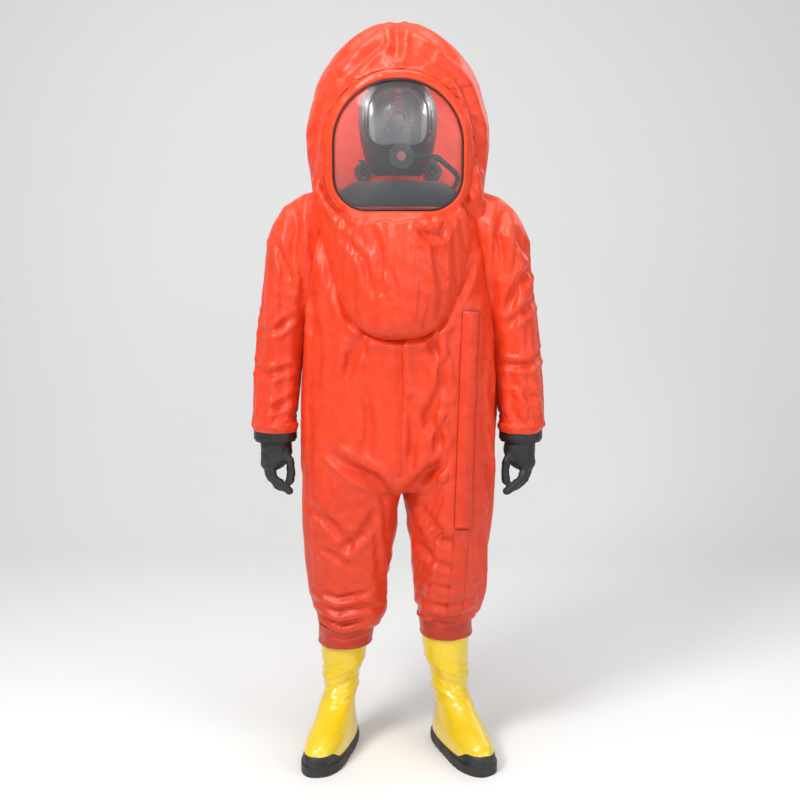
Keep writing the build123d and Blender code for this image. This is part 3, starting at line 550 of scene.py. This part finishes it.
for name, obj in frame["nodes"].items():
    if not obj.material_slots:
        obj.data.materials.append(None)
    for s in obj.material_slots:
        s.link = "OBJECT"
        s.material = mats[slots[name]]


def finish_piece(obj, material, body=None):
    obj.data.materials.clear()
    obj.data.materials.append(mats[material])
    if body:
        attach(obj, body)
    return obj


# ---------------------------------------------------------------- garment body: torso, pouch and trouser legs
TORSO = [(722, 0, 0, 150, 112, 2.0), (742, 0, 0, 224, 146, 2.1), (775, 0, 0, 250, 158, 2.2),
         (950, 0, -2, 250, 160, 2.2), (1060, 0, 0, 243, 162, 2.2),
         (1120, 0, 2, 240, 163, 2.2), (1230, 0, 4, 230, 164, 2.2), (1310, 0, 4, 222, 160, 2.2),
         (1390, 0, 4, 205, 148, 2.2), (1430, 0, 4, 170, 120, 2.2)]
POUCH = [(850, 0, 95, 110, 66), (900, 0, 108, 145, 100), (1050, 0, 112, 162, 108), (1250, 0, 112, 160, 108),
         (1320, 0, 106, 145, 98), (1385, 0, 90, 118, 68)]
LEGS = {
    "right": [(268, -140, 14, 67, 76, 2), (300, -138, 13, 69, 79, 2), (330, -134, 12, 71, 84, 2),
              (382, -124, 8, 84, 97, 2), (446, -131, 5, 95, 106, 2),
              (574, -132, 0, 110, 120, 2.1), (700, -127, 0, 117, 131, 2.1), (770, -122, 0, 117, 134, 2.1),
              (820, -110, 0, 105, 125, 2)],
    "left": [(290, 127, 14, 64, 74, 2), (345, 124, 13, 66, 80, 2), (365, 121, 11, 74, 88, 2),
             (400, 121, 8, 87, 99, 2), (446, 128, 5, 97, 106, 2),
             (574, 126, 0, 111, 120, 2.1), (700, 127, 0, 117, 131, 2.1), (770, 122, 0, 117, 134, 2.1),
             (820, 110, 0, 105, 125, 2)],
}
forms = [tube("t0", TORSO), tube("t1", POUCH, rows=60), tube("t2", LEGS["right"]), tube("t3", LEGS["left"])]
suit = fuse("suit_body", forms, SUIT_VOXEL, 5)
delete_faces(suit, lambda c, n: (HEM_LOW["left"] if c.x > 0 else HEM_LOW["right"]) <= c.z <= SHOULDER_TOP)
even_edge(suit)

def zip_centre(z):
    t = (z - 0.620) / 0.520
    return 0.162 + 0.016 * t


co = points(suit)
over_hem = co[:, 2] - np.where(co[:, 0] > 0, HEM_LOW["left"], HEM_LOW["right"])
pin = np.maximum(ramp(co[:, 2], 1.26, 1.36), 1 - ramp(over_hem, 0.045, 0.075))
beside_zip = 1 - ramp(np.abs(co[:, 0] - zip_centre(co[:, 2])), 0.034, 0.075)
pin = np.maximum(pin, beside_zip * ramp(co[:, 2], 0.54, 0.60) * (co[:, 1] < 0))
settle(suit, pin, 20, 0.055, 1.6, 0.028)
subdivide(suit)
suit_lines = [
    (13, 13, (-196, 1340), (-160, 1230), (-110, 1130), (-50, 1094), (0, 1088), (50, 1094), (110, 1130),
     (160, 1230), (196, 1340)),
    (9, 7, (4, 1110), (6, 1000), (3, 880), (6, 780)),
    (12, 9, (26, 930), (34, 840), (28, 740)),
    (16, 14, (-110, 770), (-60, 735), (-30, 690)),
    (14, 12, (-170, 800), (-120, 760), (-50, 722)),
    (16, 14, (110, 780), (70, 745), (26, 700)),
    (12, 10, (150, 820), (110, 770), (60, 735)),
    (14, 10, (-60, 1120), (-110, 1040), (-150, 930)),
    (12, 8, (60, 1120), (95, 1040), (120, 950)),
    (12, 8, (-214, 1180), (-196, 1060), (-204, 930)),
    (14, 9, (-90, 960), (-70, 860), (-84, 780)),
    (14, 9, (70, 900), (100, 830), (120, 760)),
    (12, 7, (210, 1080), (196, 960), (206, 840)),
    (12, 9, (-215, 650), (-160, 610), (-120, 560)),
    (12, 9, (-60, 640), (-90, 590), (-150, 540)),
    (10, 7, (-205, 560), (-160, 530), (-110, 500)),
    (12, 8, (60, 650), (100, 590), (140, 560)),
    (10, 7, (50, 560), (90, 520), (150, 500)),
    (9, 9, (-215, 400), (-160, 383), (-90, 400), (-50, 388)),
    (9, 10, (-205, 366), (-150, 346), (-80, 362)),
    (9, 9, (-200, 330), (-140, 316), (-75, 330)),
    (8, 7, (-215, 436), (-150, 420), (-70, 440)),
    (10, 9, (60, 372), (120, 360), (190, 376)),
    (9, 7, (60, 412), (120, 398), (180, 420)),
    (8, 5, (60, 470), (120, 450), (190, 470)),
]
strokes(suit, suit_lines)
crumple(suit, 0.0028, 2.0, (12, 12, 15))
zip_foot = Vector((0.162, -0.1272, 0.620))
up = (Vector((0.178, -0.1218, 1.140)) - zip_foot).normalized()
across = Vector((0.8597, 0.50982, -0.03175))
out = Vector((0.50988, -0.86022, -0.00676))
co = points(suit)
rel = co - np.array(zip_foot)
height, beside, proud = rel @ np.array(up), rel @ np.array(across), rel @ np.array(out)
flat = (1 - ramp(np.abs(beside), 0.027, 0.065)) * ramp(height, -0.05, -0.015)
flat = flat * (1 - ramp(height, 0.535, 0.575)) * (co[:, 1] < 0) * (np.abs(proud) < 0.06)
move(suit, co - (flat * (proud + 0.0006))[:, None] * np.array(out))
finish_piece(suit, "suit_fabric", "suit")
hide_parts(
    "torso_front_panel", "torso_back_panel", "pack_pouch", "right_trouser_leg", "left_trouser_leg"
)

# ---------------------------------------------------------------- hood with its bib
HOOD = [(1330, 0, 4, 196, 150), (1395, 0, 4, 212, 162), (1466, 0, 5, 222, 172), (1584, 0, 5, 232, 178),
        (1701, 0, 8, 206, 168), (1788, 0, 10, 154, 135), (1834, 0, 12, 98, 92), (1860, 0, 12, 50, 44)]
BIB = [(1104, 0, -132, 46, 44), (1116, 0, -122, 82, 74), (1146, 0, -102, 116, 110), (1200, 0, -84, 142, 134),
       (1250, 0, -72, 156, 146), (1330, 0, -58, 168, 150), (1400, 0, -40, 176, 132),
       (1450, 0, -20, 170, 110)]
hood = fuse("hood", [tube("h0", HOOD), tube("h1", BIB)], HOOD_VOXEL, 6)


def hood_stays(c, n):
    """False on the hood's floor and on the back of its bib, which lie inside the garment."""
    floor_part = c.z < 1.335 and c.y > -0.055
    bib_back = c.z < 1.33 and abs(c.x) < 0.15 and c.y > -0.13 and n.y > 0.2
    return not floor_part and not bib_back


delete_faces(hood, hood_stays)

WINDOW = (316, 309, 152, 84, 1543)


def outline(grow, count=160):
    """Points (x, z) round the window, evenly spaced, in mm."""
    w, h = WINDOW[0] / 2 + grow, WINDOW[1] / 2 + grow
    rt, rb, zc = WINDOW[2] + grow, WINDOW[3] + grow, WINDOW[4]
    path = []
    corners = (
        (w - rt, zc + h - rt, rt, 0),
        (-w + rt, zc + h - rt, rt, 90),
        (-w + rb, zc - h + rb, rb, 180),
        (w - rb, zc - h + rb, rb, 270),
    )
    for cx, cz, r, a0 in corners:
        for k in range(41):
            a = radians(a0 + 90 * k / 40)
            path.append((cx + r * cos(a), cz + r * sin(a)))
    path = np.array(path + path[:1])
    run = np.hypot(*np.diff(path, axis=0).T)
    at = np.concatenate([[0], np.cumsum(run)])
    s = np.linspace(0, at[-1], count, endpoint=False)
    return np.stack([np.interp(s, at, path[:, 0]), np.interp(s, at, path[:, 1])], 1)


def inside(grow):
    ring = outline(grow, 120) / 1000

    def test(x, z):
        hit = False
        j = len(ring) - 1
        for i in range(len(ring)):
            (xi, zi), (xj, zj) = ring[i], ring[j]
            if (zi > z) != (zj > z) and x < (xj - xi) * (z - zi) / (zj - zi) + xi:
                hit = not hit
            j = i
        return hit

    return test


co = points(hood)
near_window = inside(26)
pin = np.array([1.0 if (p[1] < 0 and near_window(p[0], p[2])) else 0.0 for p in co])
pin = np.maximum(pin, (1 - ramp(co[:, 2], 1.34, 1.37)) * (co[:, 1] > -0.06))
settle(hood, pin, 18, 0.05, 2.4, 0.018, gravity=0.5)
subdivide(hood)
hood_lines = [
    (11, 16, (-4, 1842), (-2, 1800), (-4, 1756)),
    (10, 9, (-16, 1800), (-70, 1760), (-130, 1700)),
    (10, 9, (10, 1800), (64, 1765), (120, 1712)),
    (9, 7, (-30, 1840), (-90, 1800), (-140, 1750)),
    (9, 7, (30, 1838), (86, 1796), (140, 1745)),
    (11, 10, (110, 1740), (160, 1680), (190, 1590), (196, 1500)),
    (9, 7, (-178, 1660), (-196, 1580), (-200, 1500)),
    (9, 6, (-198, 1640), (-212, 1560), (-210, 1480)),
    (11, 10, (-200, 1480), (-150, 1400), (-120, 1350)),
    (12, 12, (150, 1450), (186, 1370), (200, 1300)),
    (10, 8, (-60, 1350), (-40, 1290), (-46, 1200)),
    (10, 9, (50, 1352), (90, 1300), (100, 1220)),
    (10, 8, (120, 1370), (100, 1330), (50, 1330)),
    (9, 7, (-130, 1330), (-80, 1270), (-60, 1190)),
    (8, 6, (-20, 1250), (0, 1190), (-4, 1140)),
]
strokes(hood, hood_lines)
crumple(hood, 0.0022, 6.0, (12, 12, 14))
window_hole = inside(3)
delete_faces(hood, lambda c, n: not (c.y < -0.02 and window_hole(c.x, c.z)))
even_edge(hood, 30)


def hood_y(x, z):
    """Front of the hood's plain form at (x, z), in metres."""
    table = interpolate(HOOD, 300)
    i = int(np.clip(np.searchsorted(table[:, 0], z * 1000), 0, 299))
    _, cx, cy, a, b = table[i]
    u = min(abs(x * 1000 / a), 0.985)
    return (cy - b * sqrt(1 - u * u)) / 1000


def band(name, inner, outer, lift, base, steps=8, count=220):
    """Raised band round the window between two offsets of its outline."""
    rings = []
    for k in range(steps + 1):
        t = k / steps
        grow = inner + (outer - inner) * t
        rise = lift * (sin(pi * t) ** 0.35 if 0 < t < 1 else 0)
        ring = outline(grow, count) / 1000
        rings.append([(x, hood_y(x, z) - base - rise, z) for x, z in ring])
    verts = [v for ring in rings for v in ring]
    faces = []
    for r in range(steps):
        for k in range(count):
            j = (k + 1) % count
            faces.append((r * count + k, (r + 1) * count + k, (r + 1) * count + j, r * count + j))
    return link(name, verts, faces)


rim = band("visor_rim_band", -1, 22, 0.006, 0.001)
thicken(rim, 0.003)
finish_piece(rim, "rim", "suit")
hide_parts("visor_rim")
bead = band("visor_bead", -5, 0, 0.0035, 0.0005, 5)
thicken(bead, 0.003)
finish_piece(bead, "mask_black", "suit")
stitch = band("visor_seam", 22.5, 26, 0.0012, 0.0008, 4)
thicken(stitch, 0.001)
finish_piece(stitch, "seam_tape", "suit")

verts, faces, rows, cols = [], [], 44, 44
ring = outline(6, 4 * cols) / 1000
centre = np.array([0, WINDOW[4] / 1000])
count = len(ring)
for r in range(rows + 1):
    t = r / rows
    for p in ring:
        x, z = centre + (p - centre) * t
        verts.append((x, hood_y(x, z) + 0.003 - 0.004 * (1 - t * t), z))
for r in range(rows):
    for k in range(count):
        j = (k + 1) % count
        faces.append((r * count + k, (r + 1) * count + k, (r + 1) * count + j, r * count + j))
visor = link("visor_film", verts, faces)
bm = bmesh.new()
bm.from_mesh(visor.data)
bmesh.ops.remove_doubles(bm, verts=bm.verts, dist=0.00001)
bm.to_mesh(visor.data)
bm.free()
thicken(visor, 0.0012)
finish_piece(visor, "visor", "suit")
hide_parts("visor_window")
finish_piece(thicken(hood, CLOTH), "hood_fabric", "suit")
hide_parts("hood_left_panel", "hood_right_panel", "hood_bib")

# ---------------------------------------------------------------- sleeves
ARM = [(836, 313, -24, 52, 53), (852, 313, -23, 58, 60), (900, 317, -18, 62, 65), (1000, 316, -2, 64, 68),
       (1060, 311, 6, 65, 71), (1120, 303, 9, 67, 76), (1200, 278, 10, 76, 86),
       (1262, 258, 10, 84, 92), (1309, 244, 10, 88, 94), (1342, 234, 10, 88, 92), (1375, 224, 8, 82, 84),
       (1405, 214, 8, 68, 66), (1428, 205, 8, 46, 44), (1440, 200, 8, 18, 18)]
SPLIT_Z = 1.165
arm_lines = {
    "right": [(13, 14, (-258, 1420), (-252, 1350), (-262, 1240)),
              (10, 9, (-318, 1345), (-290, 1290), (-262, 1200)),
              (9, 8, (-262, 1130), (-300, 1100), (-340, 1092)),
              (12, 8, (-330, 1250), (-342, 1120), (-350, 980)),
              (9, 8, (-376, 1010), (-330, 985), (-270, 1002)),
              (9, 6, (-262, 930), (-300, 905), (-340, 900)),
              (9, 6, (-300, 1290), (-318, 1200), (-318, 1120))],
    "left": [(13, 14, (262, 1400), (250, 1330), (258, 1240)), (11, 10, (350, 1275), (310, 1225), (268, 1150)),
             (10, 8, (356, 1190), (320, 1150), (272, 1110)), (10, 8, (290, 1340), (320, 1290), (344, 1262)),
             (9, 8, (380, 1050), (330, 1010), (262, 1010)), (9, 6, (300, 960), (330, 930), (366, 935))],
}
for name, side in SIDES:
    levels = [(z, side * x, y, a, b) for z, x, y, a, b in ARM]
    sleeve = tube(f"{name}_sleeve", levels, ring=84, rows=110, cap=False)
    co = points(sleeve)
    pin = np.maximum(ramp(co[:, 2], 1.27, 1.36), 1 - ramp(co[:, 2], 0.845, 0.865))
    settle(sleeve, pin, 20, 0.06, 1.6, 0.020)
    subdivide(sleeve)
    strokes(sleeve, arm_lines[name])
    crumple(sleeve, 0.0024, 4.0 + side, (15, 15, 22))
    thicken(sleeve, CLOTH)
    keep_normals(sleeve)
    upper = bpy.data.objects.new(f"{name}_upper_sleeve_cloth", sleeve.data.copy())
    lower = bpy.data.objects.new(f"{name}_lower_sleeve_cloth", sleeve.data.copy())
    bpy.data.objects.remove(sleeve)
    for piece, keep in ((upper, lambda c, n: c.z > SPLIT_Z), (lower, lambda c, n: c.z <= SPLIT_Z)):
        bpy.context.scene.collection.objects.link(piece)
        delete_faces(piece, keep)
        use_normals(piece)
        finish_piece(piece, "suit_fabric")
    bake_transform(upper)
    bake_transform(lower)
    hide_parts(f"{name}_upper_sleeve", f"{name}_shoulder_panel")
    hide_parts(f"{name}_lower_sleeve")

    skin, hand = f"{name}_glove_skin", f"{name}_hand"
    from_cad(skin, f"{name}_glove", 0.0028, 7, "glove_black", hand, 0.0022, (40, 40, 55))

# ---------------------------------------------------------------- soft pieces of the breathing set
net = from_cad("head_net_cloth", "head_net", 0.003, 4, "harness", "suit", 0.001)
co, no = points(net), normals(net)
angle = np.arctan2(co[:, 1] - 0.008, co[:, 0])
mesh_lines = np.maximum(np.cos(angle * 22), np.cos(co[:, 2] * 330)) ** 5
move(net, co + no * (0.0016 * mesh_lines)[:, None])
from_cad("harness_yoke_pad", "harness_yoke", 0.004, 8, "harness", "suit", 0.003, (26, 26, 26))
from_cad("waist_belt_web", "waist_belt", 0.004, 4, "harness", "suit")
from_cad("cylinder_strap_web", "cylinder_strap", 0.003, 4, "harness", "suit")
from_cad("mask_seal_rubber", "mask_seal", 0.0028, 5, "mask_black", "suit")
from_cad("nose_cup_rubber", "nose_cup", 0.0025, 5, "mask_black", "suit")
from_cad("zip_tape_cloth", "zip_tape", 0.0022, 2, "zip_tape", "suit", 0.0003)

# ---------------------------------------------------------------- boots
BOOT = [(18, 0, -70, 50, 150, 2.5), (36, 0, -70, 51, 150, 2.5), (62, 0, -66, 50, 143, 2.4),
        (80, 0, -52, 48, 127, 2.2), (98, 0, -34, 46, 104, 2.1), (118, 1, -16, 44.5, 82, 2),
        (140, 3, -1, 44, 67, 2), (170, 4, 9, 45, 59, 2), (200, 6, 13, 50, 61, 2), (240, 9, 20, 57, 66, 2),
        (290, 11, 24, 60, 68, 2), (345, 13, 22, 60, 68, 2)]
RAND = [(1, 0, -69, 51, 152, 2.5), (6, 0, -69, 53.4, 155, 2.5), (20, 0, -69, 54, 156, 2.5),
        (27, 0, -69, 53, 154.5, 2.5), (31, 0, -69, 51.4, 152, 2.5)]
BUMPER = [(26, 0, -70, 52.2, 153, 2.5), (38, 0, -70, 52.6, 152.6, 2.5), (50, 0, -68, 51.6, 149, 2.4)]
FOOT = {"right": ((-156, -6), 13.5, -1), "left": ((143, -8), 20.0, 1)}


def turned(name, levels, ring, rows, ankle, splay, side, cap=False):
    obj = tube(name, [(z, 0, back, a, b, n) for z, inward, back, a, b, n in levels], ring, rows, cap)
    shift = interpolate([(z, inward) for z, inward, *_ in levels], rows)
    co = points(obj)
    inward = np.interp(co[:, 2] * 1000, shift[:, 0], shift[:, 1]) / 1000
    t = radians(splay)
    across, back = np.array([cos(t), side * sin(t)]), np.array([-side * sin(t), cos(t)])
    u, v = co[:, 0] - side * inward, co[:, 1]
    co[:, :2] = np.array(ankle) / 1000 + u[:, None] * across + v[:, None] * back
    move(obj, co)
    return obj


for name, (ankle, splay, side) in FOOT.items():
    boot = turned(f"{name}_boot_rubber", BOOT, 96, 100, ankle, splay, side)
    co, no = points(boot), normals(boot)
    tall = co[:, 2]
    spiral = np.sin(tall * 95 + co[:, 0] * 38 * side + 1.2) ** 3
    spiral = spiral * ramp(tall, 0.10, 0.15) * (1 - ramp(tall, 0.22, 0.27))
    folds = np.sin((tall * 130 - co[:, 1] * 60)) ** 3 * ramp(-co[:, 1], 0.04, 0.08)
    folds = folds * ramp(tall, 0.07, 0.09) * (1 - ramp(tall, 0.12, 0.15))
    lumps = fbm(co, (14, 14, 10), 9.0 + side) * ramp(tall, 0.08, 0.14)
    move(boot, co + no * (0.0032 * spiral + 0.002 * folds + 0.003 * lumps)[:, None])
    subdivide(boot)
    thicken(boot, 0.003)
    finish_piece(boot, "boot_yellow", "suit")
    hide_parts(f"{name}_boot_upper")
    rand = turned(f"{name}_sole_rand", RAND, 128, 16, ankle, splay, side)
    co = points(rand)
    bearing = np.arctan2(co[:, 1] - co[:, 1].mean(), co[:, 0] - co[:, 0].mean())
    groove = np.sin(bearing * 60) * (co[:, 2] < 0.02)
    move(rand, co + normals(rand) * (0.0012 * groove)[:, None])
    thicken(rand, 0.004)
    finish_piece(rand, "sole_black", "suit")
    toe = turned(f"{name}_toe_bumper", BUMPER, 128, 10, ankle, splay, side)
    t = radians(splay)
    ahead = Vector((side * sin(t), -cos(t), 0))
    foot = Vector((ankle[0] / 1000, ankle[1] / 1000, 0))
    delete_faces(toe, lambda c, n: (c - foot).dot(ahead) > BUMPER_BACK
                 - 2.2 * max(0.0, BUMPER_MID - c.z) + 1.6 * max(0.0, c.z - BUMPER_MID))
    even_edge(toe)
    thicken(toe, 0.002)
    finish_piece(toe, "sole_black", "suit")
    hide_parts(f"{name}_toe_cap")

# ---------------------------------------------------------------- hems, seams and flap, laid on the garment
body_tree = BVHTree.FromPolygons(
    [tuple(v.co) for v in suit.data.vertices], [tuple(p.vertices) for p in suit.data.polygons]
)
thicken(suit, CLOTH)


def on_body(x, z, lift):
    hit, normal, _, _ = body_tree.ray_cast(Vector((x, -0.6, z)), Vector((0, 1, 0)))
    if hit is None:
        return None
    return hit + normal * lift * (1 if normal.y < 0 else -1)


def strip(name, path, width, lift, material, body="suit", steps=6, thickness=0.0012, crown=0.0012):
    """Tape laid on the front of the garment. path is (x, z) in metres."""
    path = np.array(path)
    run = np.concatenate([[0], np.cumsum(np.hypot(*np.diff(path, axis=0).T))])
    count = max(4, int(run[-1] / 0.006))
    s = np.linspace(0, run[-1], count)
    line = np.stack([np.interp(s, run, path[:, 0]), np.interp(s, run, path[:, 1])], 1)
    verts, faces = [], []
    for i, (x, z) in enumerate(line):
        d = line[min(i + 1, count - 1)] - line[max(i - 1, 0)]
        side = np.array([d[1], -d[0]]) / np.hypot(*d)
        for k in range(steps + 1):
            t = k / steps * 2 - 1
            px, pz = np.array([x, z]) + side * t * width / 2
            p = on_body(px, pz, lift + crown * (1 - t * t))
            verts.append(tuple(p) if p else verts[-1] if verts else (px, -0.1, pz))
    for i in range(count - 1):
        for k in range(steps):
            a = i * (steps + 1) + k
            faces.append((a, a + 1, a + steps + 2, a + steps + 1))
    obj = link(name, verts, faces)
    smooth = obj.modifiers.new("relax", "SMOOTH")
    smooth.iterations = 4
    apply(obj)
    thicken(obj, thickness)
    return finish_piece(obj, material, body)


strip("front_seam", [(0.004, 1.10), (0.006, 0.95), (0.003, 0.80), (0.003, 0.74)], 0.010, 0.0008, "seam_tape")
tape_line = [(0.160, 0.606), (0.152, 0.50), (0.146, 0.42), (0.142, 0.37)]
tape = strip("leg_tape_cloth", tape_line, 0.044, 0.0015, "seam_tape")
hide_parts("leg_tape")
for name, side in SIDES:
    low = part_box(f"{name}_leg_hem")[0][2]
    if side < 0:
        cuffs = [(low, -140, 14, 67, 76), (low + 0.03, -137, 13, 70, 81), (low + 0.055, -134, 12, 72, 86)]
    else:
        cuffs = [(low, 127, 14, 66, 75), (low + 0.03, 125, 13, 67, 79), (low + 0.055, 123, 13, 68, 82)]
    levels = [(z * 1000, x, y, a + 2, b + 2) for z, x, y, a, b in cuffs]
    hem = tube(f"{name}_hem_band", levels, 96, 24, cap=False)
    co, no = points(hem), normals(hem)
    over = co[:, 2] - low
    edge = np.exp(-(((over - 0.004) / 0.004) ** 2)) + np.exp(-(((over - 0.051) / 0.004) ** 2))
    move(hem, co + no * (0.0016 * edge + 0.002 * fbm(co, (22, 22, 6), 5.0))[:, None])
    thicken(hem, 0.004)
    finish_piece(hem, "suit_fabric_dark", "suit")
    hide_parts(f"{name}_leg_hem")

verts, faces, steps = [], [], 14
length = 0.536
count = 120
for i in range(count):
    h = -0.008 + length * i / (count - 1)
    centre_line = zip_foot + up * h
    wave = 0.0012 * noise.noise((h * 14, 1.7, 0.3)) + 0.0008 * noise.noise((h * 40, 4.2, 0.3))
    for k in range(steps + 1):
        t = k / steps * 2 - 1
        rise = 0.0145 * (1 - abs(t) ** 3.4) + wave * (1 - t * t)
        place = centre_line + across * (0.0252 * t + wave) + out * rise
        near, normal, _, _ = body_tree.find_nearest(place)
        if near is not None and abs(t) > 0.6:
            hug = (abs(t) - 0.6) / 0.4
            place = place.lerp(near + normal * 0.0012, hug * 0.85 if (near - place).length < 0.012 else 0.0)
        verts.append(tuple(place))
for i in range(count - 1):
    for k in range(steps):
        a = i * (steps + 1) + k
        faces.append((a, a + steps + 1, a + steps + 2, a + 1))
flap = link("zip_flap_cloth", verts, faces)
flap.data.update()
thicken(flap, 0.0018)
finish_piece(flap, "seam_tape", "zip_flap")
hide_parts("zip_flap")

# ---------------------------------------------------------------- studio
SWEEP_R = 1.6
bend = [(2.0 + SWEEP_R * sin(radians(a)), SWEEP_R - SWEEP_R * cos(radians(a))) for a in range(5, 91, 5)]
sweep = [(-6.0, 0.0), (2.0, 0.0)] + bend + [(3.6, 7.0)]
verts = [(x, y, z) for y, z in sweep for x in (-8, 8)]
floor = link("floor", verts, [(2 * i, 2 * i + 1, 2 * i + 3, 2 * i + 2) for i in range(len(sweep) - 1)])
pale, tree, b = shader("studio", (0.80, 0.80, 0.79), 0.6)
floor.data.materials.append(pale)


def lamp(name, place, aim, size, power, tint=(1, 1, 1)):
    data = bpy.data.lights.new(name, "AREA")
    data.size = size
    data.energy = power
    data.color = tint
    obj = bpy.data.objects.new(name, data)
    obj.location = place
    obj.rotation_euler = (Vector(aim) - Vector(place)).to_track_quat("-Z", "Y").to_euler()
    bpy.context.scene.collection.objects.link(obj)
    return obj


lamp("key", (-1.9, -2.4, 3.4), (0, 0, 1.1), 1.1, 118)
lamp("fill", (2.8, -2.2, 1.8), (0, 0, 1.0), 2.0, 34)
lamp("front", (0.3, -3.4, 1.9), (0, 0, 1.3), 1.0, 20)
lamp("top", (0, -0.4, 3.6), (0, 0, 1.0), 1.6, 46)
lamp("rim_light", (1.8, 1.6, 2.4), (0, 0, 1.0), 1.4, 10)
for side in (-1, 1):
    inside_lamp = lamp(f"inside_{side}", (side * 0.125, -0.07, 1.665), (side * 0.10, 0.17, 1.52), 0.06, 0.75)
    inside_lamp.visible_camera = False
world = bpy.data.worlds.new("studio")
bpy.context.scene.world = world
world.use_nodes = True
world.node_tree.nodes["Background"].inputs[0].default_value = (0.9, 0.92, 0.95, 1)
world.node_tree.nodes["Background"].inputs[1].default_value = 0.42

camera_data = bpy.data.cameras.new("camera")
camera = bpy.data.objects.new("camera", camera_data)
bpy.context.scene.collection.objects.link(camera)
bpy.context.scene.camera = camera
camera.location = (0, -3.12, 1.30)
camera.rotation_euler = (radians(90 - 7.045), 0, 0)
camera_data.sensor_width = 36
camera_data.lens = 55.17
camera_data.shift_x = 0.0025

scene = bpy.context.scene
scene.view_settings.view_transform = "Standard"
scene.view_settings.look = "None"
